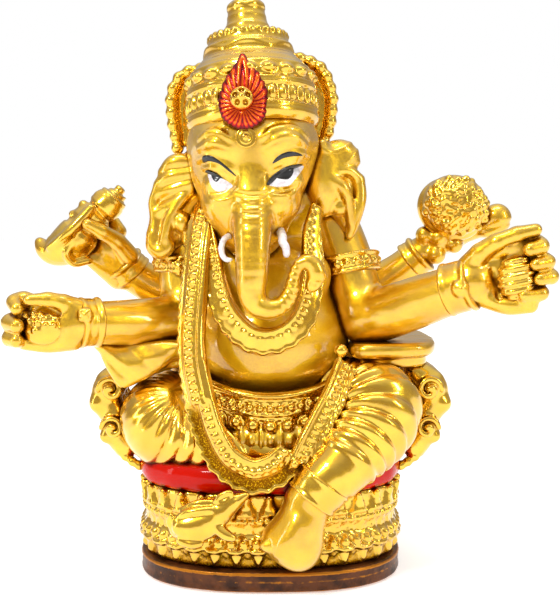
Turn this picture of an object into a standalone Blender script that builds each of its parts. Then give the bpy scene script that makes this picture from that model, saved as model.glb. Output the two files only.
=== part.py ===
"""Seated four-armed elephant-headed idol, cast in resin as separate pieces that are pinned and glued.

Sizes in this file are millimetres until mm() turns them into Blender's metres. +Z is up, the idol faces -Y,
and the origin is the centre of the plinth's underside. Left and right are the viewer's, facing the idol.
Each piece is sculpted from balls and limbs that a voxel remesh fuses, or lofted from oval rings. A piece that
lies on another is then trimmed back by the glue gap.
"""

import math

import bmesh
import bpy
from mathutils import Euler, Matrix, Vector

# Driving dimensions, in millimetres.
PLINTH_HALF_X, PLINTH_HALF_Y = 34.8, 27.5
PLINTH_TOP = 5.4
PEDESTAL_TOP = 21.0
CUSHION_TOP = 29.0
CROWN_BASE = 115.5
TOTAL_HEIGHT = 150.0
GLUE_GAP = 0.3
TRIM = 0.45  # a trimming copy grows this far along its corner normals, so its faces move by GLUE_GAP or more
THRONE_BACK_FRONT, THRONE_BACK_THICK = 19.6, 4.6

# Voxel sizes for fusing the sculpted shapes: body, head and legs, hands and small pieces.
COARSE, MEDIUM, FINE = 1.6, 1.3, 1.0

GOLD = ("gold", (0.83, 0.56, 0.11), 0.28, 1.0)
BRIGHT_GOLD = ("bright_gold", (0.90, 0.63, 0.14), 0.18, 1.0)
RED = ("red_enamel", (0.62, 0.02, 0.01), 0.22, 0.0)
FLAME_RED = ("flame_red", (0.60, 0.03, 0.01), 0.18, 0.4)
BROWN = ("brown_lacquer", (0.09, 0.045, 0.025), 0.35, 0.3)
WHITE = ("white_enamel", (0.85, 0.83, 0.78), 0.35, 0.0)
STEEL = ("steel", (0.55, 0.55, 0.56), 0.3, 1.0)


def mm(*values):
    """Millimetres as a vector in metres."""
    return Vector(values) * 0.001


def clear_scene():
    for obj in list(bpy.data.objects):
        bpy.data.objects.remove(obj)


def material(name, colour, roughness, metallic):
    found = bpy.data.materials.get(name)
    if found:
        return found
    made = bpy.data.materials.new(name)
    made.use_nodes = True
    shader = made.node_tree.nodes["Principled BSDF"]
    shader.inputs["Base Color"].default_value = (*colour, 1.0)
    shader.inputs["Roughness"].default_value = roughness
    shader.inputs["Metallic"].default_value = metallic
    return made


# --- Sculpting ----------------------------------------------------------------


def ball(bm, centre, radii, turn=(0, 0, 0)):
    """An ellipsoid; turn is its rotation about X, Y and Z in degrees."""
    spin = Euler([math.radians(a) for a in turn]).to_matrix().to_4x4()
    size = Matrix.Diagonal((*mm(*radii), 1.0))
    where = Matrix.Translation(mm(*centre)) @ spin @ size
    bmesh.ops.create_icosphere(bm, subdivisions=2, radius=1.0, matrix=where)


def along(stations, t):
    """The point and radius at t on the smooth curve through stations of (x, y, z, radius)."""
    last = len(stations) - 1
    i = min(int(t), last - 1)
    u = t - i
    ends = [Vector(stations[max(0, min(last, k))]) for k in (i - 1, i, i + 1, i + 2)]
    a, b, c, d = ends
    return 0.5 * (2 * b + (c - a) * u + (2 * a - 5 * b + 4 * c - d) * u**2 + (3 * b - 3 * c + d - a) * u**3)


def limb(bm, stations, flat=(1, 1, 1), turn=(0, 0, 0)):
    """A round-ended tube of overlapping balls through stations; flat scales each ball along its own axes."""
    spacing = 0.45  # in radii
    t, last = 0.0, len(stations) - 1
    while t <= last:
        x, y, z, radius = along(stations, t)
        ball(bm, (x, y, z), [radius * f for f in flat], turn)
        near = along(stations, min(t + 0.01, last)) if t < last else along(stations, t - 0.01)
        speed = (near.xyz - Vector((x, y, z))).length / 0.01
        t += spacing * radius / max(speed, 1.0)
    x, y, z, radius = along(stations, last)
    ball(bm, (x, y, z), [radius * f for f in flat], turn)


def evaluated(obj):
    """The object's mesh with its modifiers applied; the object is then removed."""
    graph = bpy.context.evaluated_depsgraph_get()
    mesh = bpy.data.meshes.new_from_object(obj.evaluated_get(graph), depsgraph=graph)
    bpy.data.objects.remove(obj)
    return mesh


def helper(mesh):
    obj = bpy.data.objects.new("helper", mesh)
    bpy.context.scene.collection.objects.link(obj)
    return obj


def mesh_of(bm):
    mesh = bpy.data.meshes.new("shape")
    bmesh.ops.recalc_face_normals(bm, faces=bm.faces)
    bm.to_mesh(mesh)
    bm.free()
    return mesh


def closed(mesh):
    """Whether every edge joins two faces and no two sheets meet at one point."""
    bm = bmesh.new()
    bm.from_mesh(mesh)
    sound = all(e.is_manifold for e in bm.edges) and all(v.is_manifold for v in bm.verts)
    bm.free()
    return sound


def fused(bm, voxel, keep, smoothing=3):
    """The shapes in bm as one smooth skin, thinned to about the given share of its triangles."""
    shapes = mesh_of(bm)
    while True:
        obj = helper(shapes.copy())
        remesh = obj.modifiers.new("Skin", "REMESH")
        remesh.mode = "VOXEL"
        remesh.voxel_size = voxel * 0.001
        smooth = obj.modifiers.new("Soften", "SMOOTH")
        smooth.factor = 0.5
        smooth.iterations = smoothing
        thin = obj.modifiers.new("Thin", "DECIMATE")
        thin.ratio = keep
        mesh = largest_body(evaluated(obj))
        if closed(mesh):
            return mesh
        keep *= 1.12  # thinning this far folded the skin onto itself


def largest_body(mesh):
    """Trimming can leave crumbs; only the biggest connected body stays."""
    bm = bmesh.new()
    bm.from_mesh(mesh)
    left, bodies = set(bm.verts), []
    while left:
        queue = [left.pop()]
        body = set(queue)
        while queue:
            for edge in queue.pop().link_edges:
                for vert in edge.verts:
                    if vert in left:
                        left.remove(vert)
                        body.add(vert)
                        queue.append(vert)
        bodies.append(body)
    biggest = max(bodies, key=len)
    bmesh.ops.delete(bm, geom=[v for v in bm.verts if v not in biggest], context="VERTS")
    bm.to_mesh(mesh)
    bm.free()
    return mesh


def grown(mesh, by=TRIM):
    """A copy whose points stand out along their normals by the given distance."""
    bm = bmesh.new()
    bm.from_mesh(mesh)
    bm.normal_update()
    moved = [(v, v.normal * by * 0.001) for v in bm.verts]
    for vert, step in moved:
        vert.co += step
    copy = bpy.data.meshes.new("cutter")
    bm.to_mesh(copy)
    bm.free()
    return copy


def trimmed(mesh, *cutters):
    """The mesh with each cutter taken away from it."""
    for cutter in cutters:
        obj, tool = helper(mesh), helper(cutter)
        cut = obj.modifiers.new("Trim", "BOOLEAN")
        cut.operation = "DIFFERENCE"
        cut.solver = "MANIFOLD"  # the exact solver leaves cracks where a fused skin folds sharply
        cut.object = tool
        bpy.context.view_layer.update()
        mesh = evaluated(obj)
        bpy.data.objects.remove(tool)
        mesh = largest_body(mesh)
    return mesh


# --- Lofted ovals and pins ----------------------------------------------


def oval(bm, z, half_x, half_y, sides, power, centre=(0, 0)):
    """A ring of points on a superellipse; power 2 is an ellipse and more is squarer."""
    points = []
    for i in range(sides):
        angle = 2 * math.pi * i / sides
        c, s = math.cos(angle), math.sin(angle)
        x = half_x * math.copysign(abs(c) ** (2 / power), c)
        y = half_y * math.copysign(abs(s) ** (2 / power), s)
        points.append(bm.verts.new(mm(centre[0] + x, centre[1] + y, z)))
    return points


def loft(levels, sides=32, power=2.5, centre=(0, 0)):
    """A closed solid through ovals at the given levels of (z, half_x, half_y), bottom to top."""
    bm = bmesh.new()
    rings = [oval(bm, z, a, b, sides, power, centre) for z, a, b in levels]
    for low, high in zip(rings, rings[1:]):
        for i in range(sides):
            j = (i + 1) % sides
            bm.faces.new((low[i], low[j], high[j], high[i]))
    bm.faces.new(rings[0][::-1])
    bm.faces.new(rings[-1])
    return mesh_of(bm)


def leaned(mesh, pivot, about_x, about_y):
    """The mesh turned about a point, in degrees."""
    turn = Euler((math.radians(about_x), math.radians(about_y), 0)).to_matrix().to_4x4()
    at = Matrix.Translation(mm(*pivot))
    mesh.transform(at @ turn @ at.inverted())
    return mesh


def rod(start, end, radius, sides=12):
    """A plain cylinder from start to end."""
    bm = bmesh.new()
    axis = Vector(end) - Vector(start)
    middle = (Vector(end) + Vector(start)) / 2
    turn = axis.to_track_quat("Z", "Y").to_matrix().to_4x4()
    where = Matrix.Translation(mm(*middle)) @ turn
    bmesh.ops.create_cone(
        bm,
        cap_ends=True,
        segments=sides,
        radius1=radius * 0.001,
        radius2=radius * 0.001,
        depth=axis.length * 0.001,
        matrix=where,
    )
    return mesh_of(bm)


def band(centre, normal, half_x, half_y, width, depth, sides=16):
    """A closed ring of rounded section; half_x and half_y are its outer half-widths, normal its axis."""
    bm = bmesh.new()
    section = [(0, -0.5), (0.8, -0.4), (0.8, 0.4), (0, 0.5)]
    rings = []
    for i in range(sides):
        angle = 2 * math.pi * i / sides
        ring = []
        for out, up in section:
            a = half_x - depth * (1 - out)
            b = half_y - depth * (1 - out)
            ring.append(bm.verts.new(mm(a * math.cos(angle), b * math.sin(angle), up * width)))
        rings.append(ring)
    for i in range(sides):
        here, there = rings[i], rings[(i + 1) % sides]
        for k in range(len(section)):
            m = (k + 1) % len(section)
            bm.faces.new((here[k], there[k], there[m], here[m]))
    turn = Vector(normal).to_track_quat("Z", "Y").to_matrix().to_4x4()
    bm.transform(Matrix.Translation(mm(*centre)) @ turn)
    return mesh_of(bm)


# --- The seat -----------------------------------------------------------------


def plinth():
    """Oval foot plate with a rounded top edge; its flat underside is what the idol stands on."""
    a, b, top = PLINTH_HALF_X, PLINTH_HALF_Y, PLINTH_TOP
    return loft([(0, a - 0.5, b - 0.5), (0.6, a, b), (top - 0.9, a, b), (top, a - 0.9, b - 0.9)])


def lotus_pedestal():
    """The petal drum between the plinth and the cushion, widest at its lower bead row."""
    low, top = PLINTH_TOP + GLUE_GAP, PEDESTAL_TOP
    steps = [(low, 32.6, 24.8), (9.5, 33.4, 25.4), (12.0, 34.3, 26.2), (14.0, 33.4, 25.4)]
    return loft(steps + [(17.0, 33.6, 25.6), (top, 32.6, 24.8)])


def seat_cushion():
    low, top = PEDESTAL_TOP + GLUE_GAP, CUSHION_TOP
    steps = [(low, 33.2, 25.6), (low + 1.5, 34.9, 27.2), (25.5, 35.4, 27.8), (top - 1.4, 34.8, 27.0)]
    return loft(steps + [(top, 32.6, 25.0)])


def throne_back():
    """Low carved panel behind the hips, standing on the back of the cushion."""
    bm = bmesh.new()
    arch = [(-32, CUSHION_TOP + GLUE_GAP), (32, CUSHION_TOP + GLUE_GAP), (35.5, 40), (35.5, 51), (30, 57)]
    arch += [(20, 59), (11, 63), (0, 65), (-11, 63), (-20, 59), (-30, 57), (-35.5, 51), (-35.5, 40)]
    face = bm.faces.new([bm.verts.new(mm(x, THRONE_BACK_FRONT, z)) for x, z in arch])
    moved = bmesh.ops.extrude_face_region(bm, geom=[face])["geom"]
    rear = [g for g in moved if isinstance(g, bmesh.types.BMVert)]
    bmesh.ops.translate(bm, verts=rear, vec=mm(0, THRONE_BACK_THICK, 0))
    return mesh_of(bm)


def armrest(side):
    """Dished slab that the elbow rests on; side is -1 for left and 1 for right."""
    bm = bmesh.new()
    ball(bm, (side * 33.0, -2.0, 57.4), (11.8, 13.0, 3.0), (0, 4 * side, 0))
    ball(bm, (side * 34.0, 8.0, 57.0), (9.5, 11.0, 3.0))
    if side < 0:
        ball(bm, (-30.0, -11.0, 55.6), (8.5, 6.0, 3.6), (24, -8, 0))
    else:
        ball(bm, (27.0, -9.0, 56.4), (6.5, 7.0, 2.8), (6, 8, 0))
    return fused(bm, FINE, 0.07)


def throne_side(side):
    """Scrolled carving under the armrest: a big upper volute over a small lower one that curls to the cushion."""
    bm = bmesh.new()
    limb(bm, [(side * 39, 15, 49, 3.6), (side * 40, 4, 49, 3.8), (side * 39.5, -6, 48, 3.4)])
    ball(bm, (side * 42.6, -5, 44.8), (5.0, 4.6, 5.4))
    limb(bm, [(side * 41, 14, 40, 3.6), (side * 41, 2, 39, 3.6), (side * 39.5, -5, 37, 3.0)])
    limb(bm, [(side * 41.5, -4, 41, 3.2), (side * 40, -5, 35, 2.8), (side * 38.2, -3, 29, 3.2)])
    ball(bm, (side * 39.8, 1, 30.4), (3.6, 6.0, 3.6))
    limb(bm, [(side * 40, 14, 32, 3.4), (side * 39.5, 4, 31, 3.4)])
    ball(bm, (side * 39.5, 11, 40), (3.4, 7.0, 11.0))
    return fused(bm, MEDIUM, 0.1)


# --- The body -----------------------------------------------------------------


def torso():
    bm = bmesh.new()
    ball(bm, (-0.5, -1.0, 60.0), (20.8, 19.8, 18.5))
    ball(bm, (-1.5, 1.0, 78.0), (17.5, 14.0, 14.5))
    limb(bm, [(-12.5, 2, 88.0, 6.8), (-2, 2, 90.5, 8.5), (9.5, 2, 88.5, 6.8)])
    ball(bm, (0, 2.5, 40), (25.0, 16.5, 12.5))
    limb(bm, [(-2.5, 1, 90, 9.5), (-3.5, -3, 98, 9.0)])
    return fused(bm, COARSE, 0.045)


def folded_leg():
    """Crossed leg on the left: thigh out to the knee, shin back across the front of the seat."""
    bm = bmesh.new()
    limb(bm, [(-12, 3, 42, 11.5), (-20, -4, 42, 11.8), (-26, -9, 41.2, 11.8)])
    limb(bm, [(-26, -12, 38, 9.0), (-14, -19, 35.5, 6.6), (-2, -20.5, 33.8, 5.2), (7, -21.5, 33, 4.2)])
    return fused(bm, MEDIUM, 0.06)


def hanging_leg():
    """Leg on the right: thigh out to the knee, shin down and in across the cushion's edge to the ankle."""
    bm = bmesh.new()
    limb(bm, [(12, 0, 43, 11.5), (21, -8, 44.5, 11.8), (27.5, -15, 44, 11.3)])
    limb(bm, [(27.5, -16, 43, 10.8), (22, -23, 36, 9.4), (16.6, -27.6, 29.4, 8.0)])
    limb(bm, [(16.6, -27.6, 29.4, 7.2), (12.8, -29.2, 23.2, 6.4), (10.8, -29.6, 16.5, 6.8)])
    limb(bm, [(4.2, -31, 13.0, 3.6), (10, -31.4, 10.8, 4.4), (16.2, -30.6, 11.2, 3.8)])
    return fused(bm, MEDIUM, 0.07)


def anklet():
    return band((14.4, -28.6, 26.2), (0.5, 0.22, 0.84), 8.9, 8.7, 6.4, 3.0)


# --- The head -----------------------------------------------------------------


def head():
    """Domed brow, cheeks that taper into the trunk, and the trunk's curl towards the right."""
    bm = bmesh.new()
    ball(bm, (-4.0, -9.5, 107), (16.6, 15.4, 14.5))
    ball(bm, (-4.0, -12.5, 98), (14.2, 12.6, 13.0))
    limb(bm, [(-4.1, -20, 100, 8.6), (-4.2, -24.5, 92, 7.2), (-4.4, -26.2, 84, 6.4), (-4.2, -26.6, 77, 5.8)])
    limb(bm, [(-4.2, -26.6, 77, 5.8), (-1.2, -26.8, 71.9, 5.1), (4.0, -27.2, 72.2, 4.3), (7.2, -27.6, 77.2, 3.6)])
    limb(bm, [(7.2, -27.6, 77.2, 3.6), (8.0, -27.6, 81.6, 3.3), (11.0, -27.0, 83.4, 2.9), (12.6, -26.4, 80.4, 2.5)])
    return fused(bm, MEDIUM, 0.07)


def ear(side):
    """Hanging ear: a flap that fans out from the cheek and folds to a lobe at its foot."""
    bm = bmesh.new()
    if side < 0:
        limb(bm, [(-19.5, -5, 109, 4.0), (-24.5, -4.5, 102, 5.8), (-26.4, -5, 93, 5.6), (-27.0, -6.5, 86, 4.2)])
        ball(bm, (-22.5, -7, 95), (4.2, 3.6, 9.0))
    else:
        limb(bm, [(13.5, -5, 109, 4.2), (18.0, -4.5, 104, 6.0), (19.6, -5, 96, 5.2), (20.4, -6.5, 89.4, 2.6)])
        ball(bm, (14.5, -7, 97), (4.2, 3.6, 7.5))
    return fused(bm, FINE, 0.09)


def tusk(side):
    """Short tusk beside the trunk's root; the left one is broken off."""
    bm = bmesh.new()
    if side < 0:
        limb(bm, [(-12.6, -20.5, 89, 1.7), (-13.0, -23.5, 86.4, 1.7), (-12.8, -25.6, 84.4, 1.5)])
    else:
        limb(bm, [(3.6, -20.5, 89.5, 1.7), (4.6, -23.5, 86.6, 1.6), (6.2, -25.8, 84.6, 1.2)])
    return fused(bm, 0.6, 0.2, 2)


def crown():
    """Turned crown in three tiers under a capped spire, leaning back and a little to the left."""
    levels = [(0, 17.0), (0.8, 17.4), (10.8, 16.8), (12.4, 16.2), (15.8, 13.6), (19.4, 11.6), (20.4, 11.2)]
    levels += [(22.6, 9.4), (23.2, 6.4), (27.0, 5.2), (30.8, 5.0), (TOTAL_HEIGHT - CROWN_BASE - 0.6, 2.4)]
    made = loft([(CROWN_BASE + t, r, r) for t, r in levels], 18, 2.0, (-4.2, -9.5))
    return leaned(made, (-4.2, -9.5, CROWN_BASE), -8.0, -3.6)


def crown_fan(side):
    """Scalloped fan that stands out behind the crown on each side."""
    bm = bmesh.new()
    if side < 0:
        limb(bm, [(-15.5, -2, 131, 3.0), (-22.6, -2, 124, 3.2), (-22.8, -2, 115.5, 3.0), (-19.0, -2, 109, 2.4)])
        ball(bm, (-17.5, -2, 121), (6.5, 2.0, 9.0))
    else:
        limb(bm, [(9.0, -2, 132, 3.0), (15.6, -2, 125, 3.4), (16.0, -2, 116, 3.2), (12.6, -2, 109.5, 2.6)])
        ball(bm, (10.5, -2, 121.5), (6.5, 2.0, 9.0))
    return fused(bm, FINE, 0.09)


def flame_jewel():
    """Flame-shaped plume standing on the crown's front, wide below and drawn to a point."""
    bm = bmesh.new()
    limb(bm, [(-5.9, -26.0, 118.8, 5.2), (-6.0, -25.4, 124, 5.4), (-6.3, -21.8, 130.5, 2.2), (-6.4, -20.0, 133.4, 0.9)],
         (1.1, 0.5, 1.0), (-16, 0, 0))
    return fused(bm, 0.8, 0.12, 2)


def jewel_rosette():
    bm = bmesh.new()
    ball(bm, (-6.4, -28.9, 121.6), (2.9, 1.5, 2.9), (-8, 0, 0))
    return mesh_of(bm)


def forehead_disc():
    bm = bmesh.new()
    ball(bm, (-5.6, -25.6, 111.9), (2.8, 1.2, 2.8))
    return mesh_of(bm)


# --- Arms and what they hold --------------------------------------------------


def hand(bm, palm, palm_radii, turn, fingers):
    """A palm with each finger as a limb of its own."""
    ball(bm, palm, palm_radii, turn)
    for finger in fingers:
        limb(bm, finger)


def front_left_arm():
    """Upper arm down to the elbow, forearm level to the left, the palm up and open round the sweets."""
    bm = bmesh.new()
    limb(bm, [(-19.5, 2, 89, 8.0), (-21.5, 0.5, 78, 7.2), (-21, -2.5, 68.5, 6.6)])
    limb(bm, [(-21, -2.5, 67.6, 6.4), (-32, -11, 66.8, 5.6), (-43, -18.5, 67.2, 5.3)])
    fingers = [
        [(-50, -20.5, 71.5, 2.6), (-57, -23, 73.4, 2.2), (-60.6, -25, 72.6, 1.9)],
        [(-56, -20.5, 70.6, 2.6), (-63, -22.5, 71.0, 2.6), (-62.4, -26.5, 70.4, 2.2)],
        [(-57, -20, 67.6, 2.6), (-64.2, -22, 67.2, 2.6), (-63.2, -26.8, 67, 2.2)],
        [(-57, -20, 64.6, 2.6), (-63.2, -22, 63.4, 2.5), (-61.8, -26.6, 63.4, 2.1)],
    ]
    hand(bm, (-52, -20, 67.4), (8.0, 3.8, 5.8), (0, 0, 30), fingers)
    return fused(bm, FINE, 0.045)


def front_right_arm():
    """Upper arm down to the elbow, forearm raised out to the right, the hand half closed on a sweet."""
    bm = bmesh.new()
    limb(bm, [(16.5, 2, 90, 8.2), (21.2, -1.5, 79, 7.4), (25.5, -5.5, 68, 8.0)])
    limb(bm, [(26, -6, 67.2, 8.2), (34, -12.5, 70.2, 7.0), (45, -19.5, 75.2, 6.0)])
    fingers = [
        [(50, -22, 82, 2.7), (55.6, -25, 87.6, 2.3), (61.4, -27, 90.4, 2.0), (63.2, -28.4, 88.0, 1.8)],
        [(58, -22, 84.6, 2.5), (65.0, -24.5, 86.2, 2.3), (65.4, -28, 84.6, 2.0)],
        [(58.5, -22, 81, 2.7), (67.4, -24.5, 82.4, 2.6), (67.6, -28.6, 81.2, 2.3)],
        [(58.5, -22, 77.6, 2.7), (68.0, -24.5, 78.4, 2.6), (67.8, -28.6, 77.6, 2.3)],
        [(57.5, -22, 74.6, 2.4), (64.6, -24.5, 74.4, 2.2), (64.4, -27.6, 74, 1.8)],
    ]
    hand(bm, (55.5, -21.8, 79.4), (7.4, 3.6, 6.6), (0, -20, -20), fingers)
    return fused(bm, FINE, 0.045)


def rear_left_arm():
    """Raised arm behind the shoulder, the hand closed round the conch."""
    bm = bmesh.new()
    limb(bm, [(-17, 8, 76, 6.2), (-27, 11, 74, 5.6), (-34, 10.5, 78, 5.0), (-41, 8, 85, 4.2)])
    fingers = [
        [(-45, 6.5, 89, 2.4), (-48.6, 2.2, 93.6, 2.0), (-51.0, -0.8, 93.2, 1.7)],
        [(-44, 8, 88, 2.4), (-47.5, 8.5, 94, 2.1), (-49.5, 6.0, 97.5, 1.7)],
        [(-46, 8, 86, 2.4), (-52, 8.5, 90, 2.1), (-54.5, 6.5, 93, 1.7)],
    ]
    hand(bm, (-45, 8.2, 88.4), (3.6, 3.2, 4.8), (0, -45, 0), fingers)
    return fused(bm, FINE, 0.09)


def rear_right_arm():
    """Raised arm behind the shoulder, the fist closed on the lotus stem."""
    bm = bmesh.new()
    limb(bm, [(15, 8, 77, 6.2), (27, 11, 74.5, 5.6), (35, 10.5, 79.6, 5.0), (44, 8.5, 87.4, 4.2)])
    fingers = [
        [(50, 9, 90, 2.4), (58, 9, 94, 2.3), (61.6, 5.5, 95.8, 2.1)],
        [(50, 9, 88, 2.4), (58, 9, 90.6, 2.3), (61.2, 5.5, 91.8, 2.1)],
        [(45, 7, 89, 2.3), (43.2, 6, 94, 1.9), (42, 4.5, 98, 1.6)],
    ]
    hand(bm, (49.5, 9.2, 89.8), (5.2, 3.4, 4.2), (0, -20, 0), fingers)
    return fused(bm, FINE, 0.09)


def conch():
    bm = bmesh.new()
    shell = [(-40.6, 3.4, 100.0, 2.1), (-44.2, 3.2, 97.0, 3.9), (-46.8, 3.0, 94.4, 3.5), (-51, 2.6, 90.6, 4.9)]
    shell += [(-55.6, 2.8, 86.8, 4.3), (-60.0, 3.4, 84.6, 2.9), (-62.8, 4.2, 86.4, 1.5)]
    limb(bm, shell)
    return fused(bm, FINE, 0.09)


def lotus_bud():
    """Domed flower head, with its stem down through the fist."""
    bm = bmesh.new()
    ball(bm, (48.4, 1.6, 96.6), (8.6, 5.0, 8.6), (12, 0, 0))
    limb(bm, [(48.6, 4.0, 93, 2.6), (49.2, 4.4, 86, 1.8)])
    return fused(bm, FINE, 0.12)


def sweet_pile():
    bm = bmesh.new()
    ball(bm, (-55.2, -24.8, 67.4), (5.6, 2.8, 3.8), (0, 0, 16))
    return fused(bm, FINE, 0.12)


def fluted_sweet():
    bm = bmesh.new()
    ball(bm, (60.4, -27.2, 77.6), (4.9, 3.2, 5.6), (0, -30, 0))
    return fused(bm, FINE, 0.12)


BRACELETS = {
    "bracelet_front_left": ((-44.3, -19.0, 67.3), (0.82, 0.56, -0.05), 6.7, 6.7, 5.4),
    "bracelet_front_right": ((45.6, -19.8, 75.6), (0.78, -0.48, 0.38), 7.1, 7.1, 6.4),
    "bracelet_rear_left": ((-38.2, 9.2, 82.2), (-0.66, -0.22, 0.72), 6.0, 6.0, 4.4),
    "bracelet_rear_right": ((39.8, 9.6, 83.8), (0.72, -0.2, 0.66), 6.0, 6.0, 4.4),
}
ARMLETS = {
    "armlet_left": ((-21.9, 0.4, 79.4), (0.12, 0.1, 0.99), 8.9, 8.9, 4.4),
    "armlet_right": ((20.9, -1.4, 79.8), (-0.35, 0.26, 0.9), 9.1, 9.1, 4.4),
}


# --- Cloth and jewellery ------------------------------------------------------


def strap(route, depth, steps=3, sides=8):
    """A flat band swept along stations of (x, y, z, half_width, and the way its face looks)."""
    bm = bmesh.new()
    spine = [station[:4] for station in route]
    faces = [(*station[4], 0) for station in route]
    rings = []
    count = (len(route) - 1) * steps
    for i in range(count + 1):
        t = i / steps
        x, y, z, half = along(spine, t)
        ahead, behind = along(spine, min(t + 0.05, count / steps)), along(spine, max(t - 0.05, 0))
        way = (ahead - behind).xyz.normalized()
        across = way.cross(along(faces, t).xyz).normalized()
        out = across.cross(way)
        ring = []
        for k in range(sides):
            angle = 2 * math.pi * (k + 0.5) / sides
            shift = across * half * math.cos(angle) + out * depth / 2 * math.sin(angle)
            ring.append(bm.verts.new((Vector((x, y, z)) + shift) * 0.001))
        rings.append(ring)
    for low, high in zip(rings, rings[1:]):
        for i in range(sides):
            j = (i + 1) % sides
            bm.faces.new((low[i], low[j], high[j], high[i]))
    bm.faces.new(rings[0][::-1])
    bm.faces.new(rings[-1])
    return mesh_of(bm)


def sash():
    """Long shawl: from the left shoulder down the side of the belly, across the shins and up to the right hip."""
    route = [(-15.0, -6.0, 97, 3.6, (-0.3, -0.9, 0.2)), (-18.4, -13.0, 91.0, 4.0, (-0.4, -0.9, 0.1))]
    route += [(-20.0, -17.5, 79.0, 4.2, (-0.4, -0.9, 0)), (-20.0, -20.5, 66.0, 4.4, (-0.4, -0.9, 0))]
    route += [(-18.6, -23.0, 55.0, 4.8, (-0.5, -0.9, 0)), (-15.2, -26.0, 45.5, 5.2, (-0.5, -0.9, -0.1))]
    route += [(-9.0, -28.6, 37.6, 5.6, (-0.2, -1.0, -0.2)), (0.0, -29.4, 33.8, 5.6, (0, -1, -0.2))]
    route += [(7.4, -28.4, 37.0, 5.2, (0.1, -1, -0.1)), (12.4, -26.4, 43.6, 4.8, (0.2, -1, 0))]
    route += [(16.0, -23.4, 51.4, 4.4, (0.2, -1, 0)), (18.6, -18.5, 57.0, 3.6, (0.4, -0.9, 0.2))]
    return strap(route, 3.2)


def necklace():
    """Broad collar hanging in a U under the trunk."""
    route = [(-13.6, -12.0, 93.0, 3.2, (-0.3, -0.9, 0.3)), (-13.0, -18.0, 83.0, 3.4, (-0.3, -0.9, 0.3))]
    route += [(-10.8, -20.6, 71.8, 3.6, (-0.2, -1, 0.1)), (-4.6, -22.4, 63.6, 3.8, (-0.1, -1, 0))]
    route += [(2.8, -22.2, 63.4, 3.8, (0.1, -1, 0)), (8.8, -20.4, 70.0, 3.6, (0.2, -1, 0.1))]
    route += [(11.4, -17.6, 80.2, 3.4, (0.3, -0.9, 0.3)), (11.8, -11.5, 91.0, 3.2, (0.3, -0.9, 0.3))]
    return strap(route, 3.0)


def waist_belt():
    return band((0, 0.5, 46.2), (0, -0.12, 1), 22.2, 20.8, 5.0, 3.4, 40)


def waist_cloth():
    """Patterned apron that hangs from the belt over the shins."""
    bm = bmesh.new()
    ball(bm, (0.5, -21.4, 40.2), (13.5, 3.0, 6.0), (8, 0, 0))
    return fused(bm, FINE, 0.12)


def mouse():
    """Mouse crouching on the pedestal's left front, its snout up towards the right."""
    bm = bmesh.new()
    limb(bm, [(-25.0, -27.4, 15.6, 3.6), (-19.5, -28.8, 18.4, 5.6), (-13.0, -29.8, 19.4, 5.0), (-9.4, -30.2, 22.6, 3.8)])
    limb(bm, [(-9.4, -30.2, 22.6, 3.6), (-6.0, -30.6, 26.0, 2.4), (-3.8, -30.8, 28.4, 1.1)])
    ball(bm, (-11.0, -29.6, 15.0), (3.4, 2.6, 2.0))
    ball(bm, (-20.5, -28.8, 13.4), (4.0, 3.0, 2.0))
    return fused(bm, FINE, 0.12)


# --- Pins ---------------------------------------------------------------------

# Each pin: its two ends, its radius, and the pieces whose sockets hold it.
PINS = {
    "centre_pin": ((0, 3, 2.0), (0, 3, 46.0), 1.8, ("plinth", "lotus_pedestal", "seat_cushion", "torso")),
    "neck_pin": ((-3.0, 0.5, 86.0), (-4.0, -8.0, 104.0), 1.4, ("torso", "head")),
    "crown_pin": ((-4.2, -9.5, 109.0), (-4.6, -8.6, 122.5), 1.4, ("head", "crown")),
    "arm_pin_front_left": ((-12.0, 2.0, 87.0), (-22.0, 1.6, 87.0), 1.0, ("torso", "front_left_arm")),
    "arm_pin_front_right": ((9.0, 2.0, 87.5), (19.5, 1.6, 87.5), 1.0, ("torso", "front_right_arm")),
    "arm_pin_rear_left": ((-11.0, 6.0, 76.5), (-24.0, 10.2, 74.8), 1.0, ("torso", "rear_left_arm")),
    "arm_pin_rear_right": ((8.5, 6.0, 77.0), (23.0, 10.2, 75.0), 1.0, ("torso", "rear_right_arm")),
}


def socketed(name, mesh):
    """The mesh with a blind hole for each pin that it holds."""
    for start, end, radius, holders in PINS.values():
        if name in holders:
            axis = (Vector(end) - Vector(start)).normalized() * GLUE_GAP
            hole = rod(Vector(start) - axis, Vector(end) + axis, radius + GLUE_GAP)
            mesh = trimmed(mesh, hole)
    return mesh


# --- Assembly -----------------------------------------------------------------

solids = {}


def add(name, mesh, *under):
    """Keeps a piece, trimmed back from each piece named in under."""
    for other in under:
        # the piece's own shape as well, because its grown copy can fold over itself in a crease
        mesh = trimmed(mesh, grown(solids[other]), solids[other].copy())
    solids[name] = mesh


def place(name, mesh, finish, parent):
    """The piece as an object whose origin is the middle of its box."""
    corners = [v.co for v in mesh.vertices]
    low = Vector([min(c[i] for c in corners) for i in range(3)])
    high = Vector([max(c[i] for c in corners) for i in range(3)])
    middle = (low + high) / 2
    mesh.transform(Matrix.Translation(-middle))
    mesh.name = name
    mesh.materials.clear()
    mesh.materials.append(material(*finish))
    mesh.shade_smooth()
    mesh.set_sharp_from_angle(angle=math.radians(40))
    obj = bpy.data.objects.new(name, mesh)
    bpy.context.scene.collection.objects.link(obj)
    obj.location = middle
    obj.parent = parent


def group(name):
    empty = bpy.data.objects.new(name, None)
    bpy.context.scene.collection.objects.link(empty)
    return empty


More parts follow.
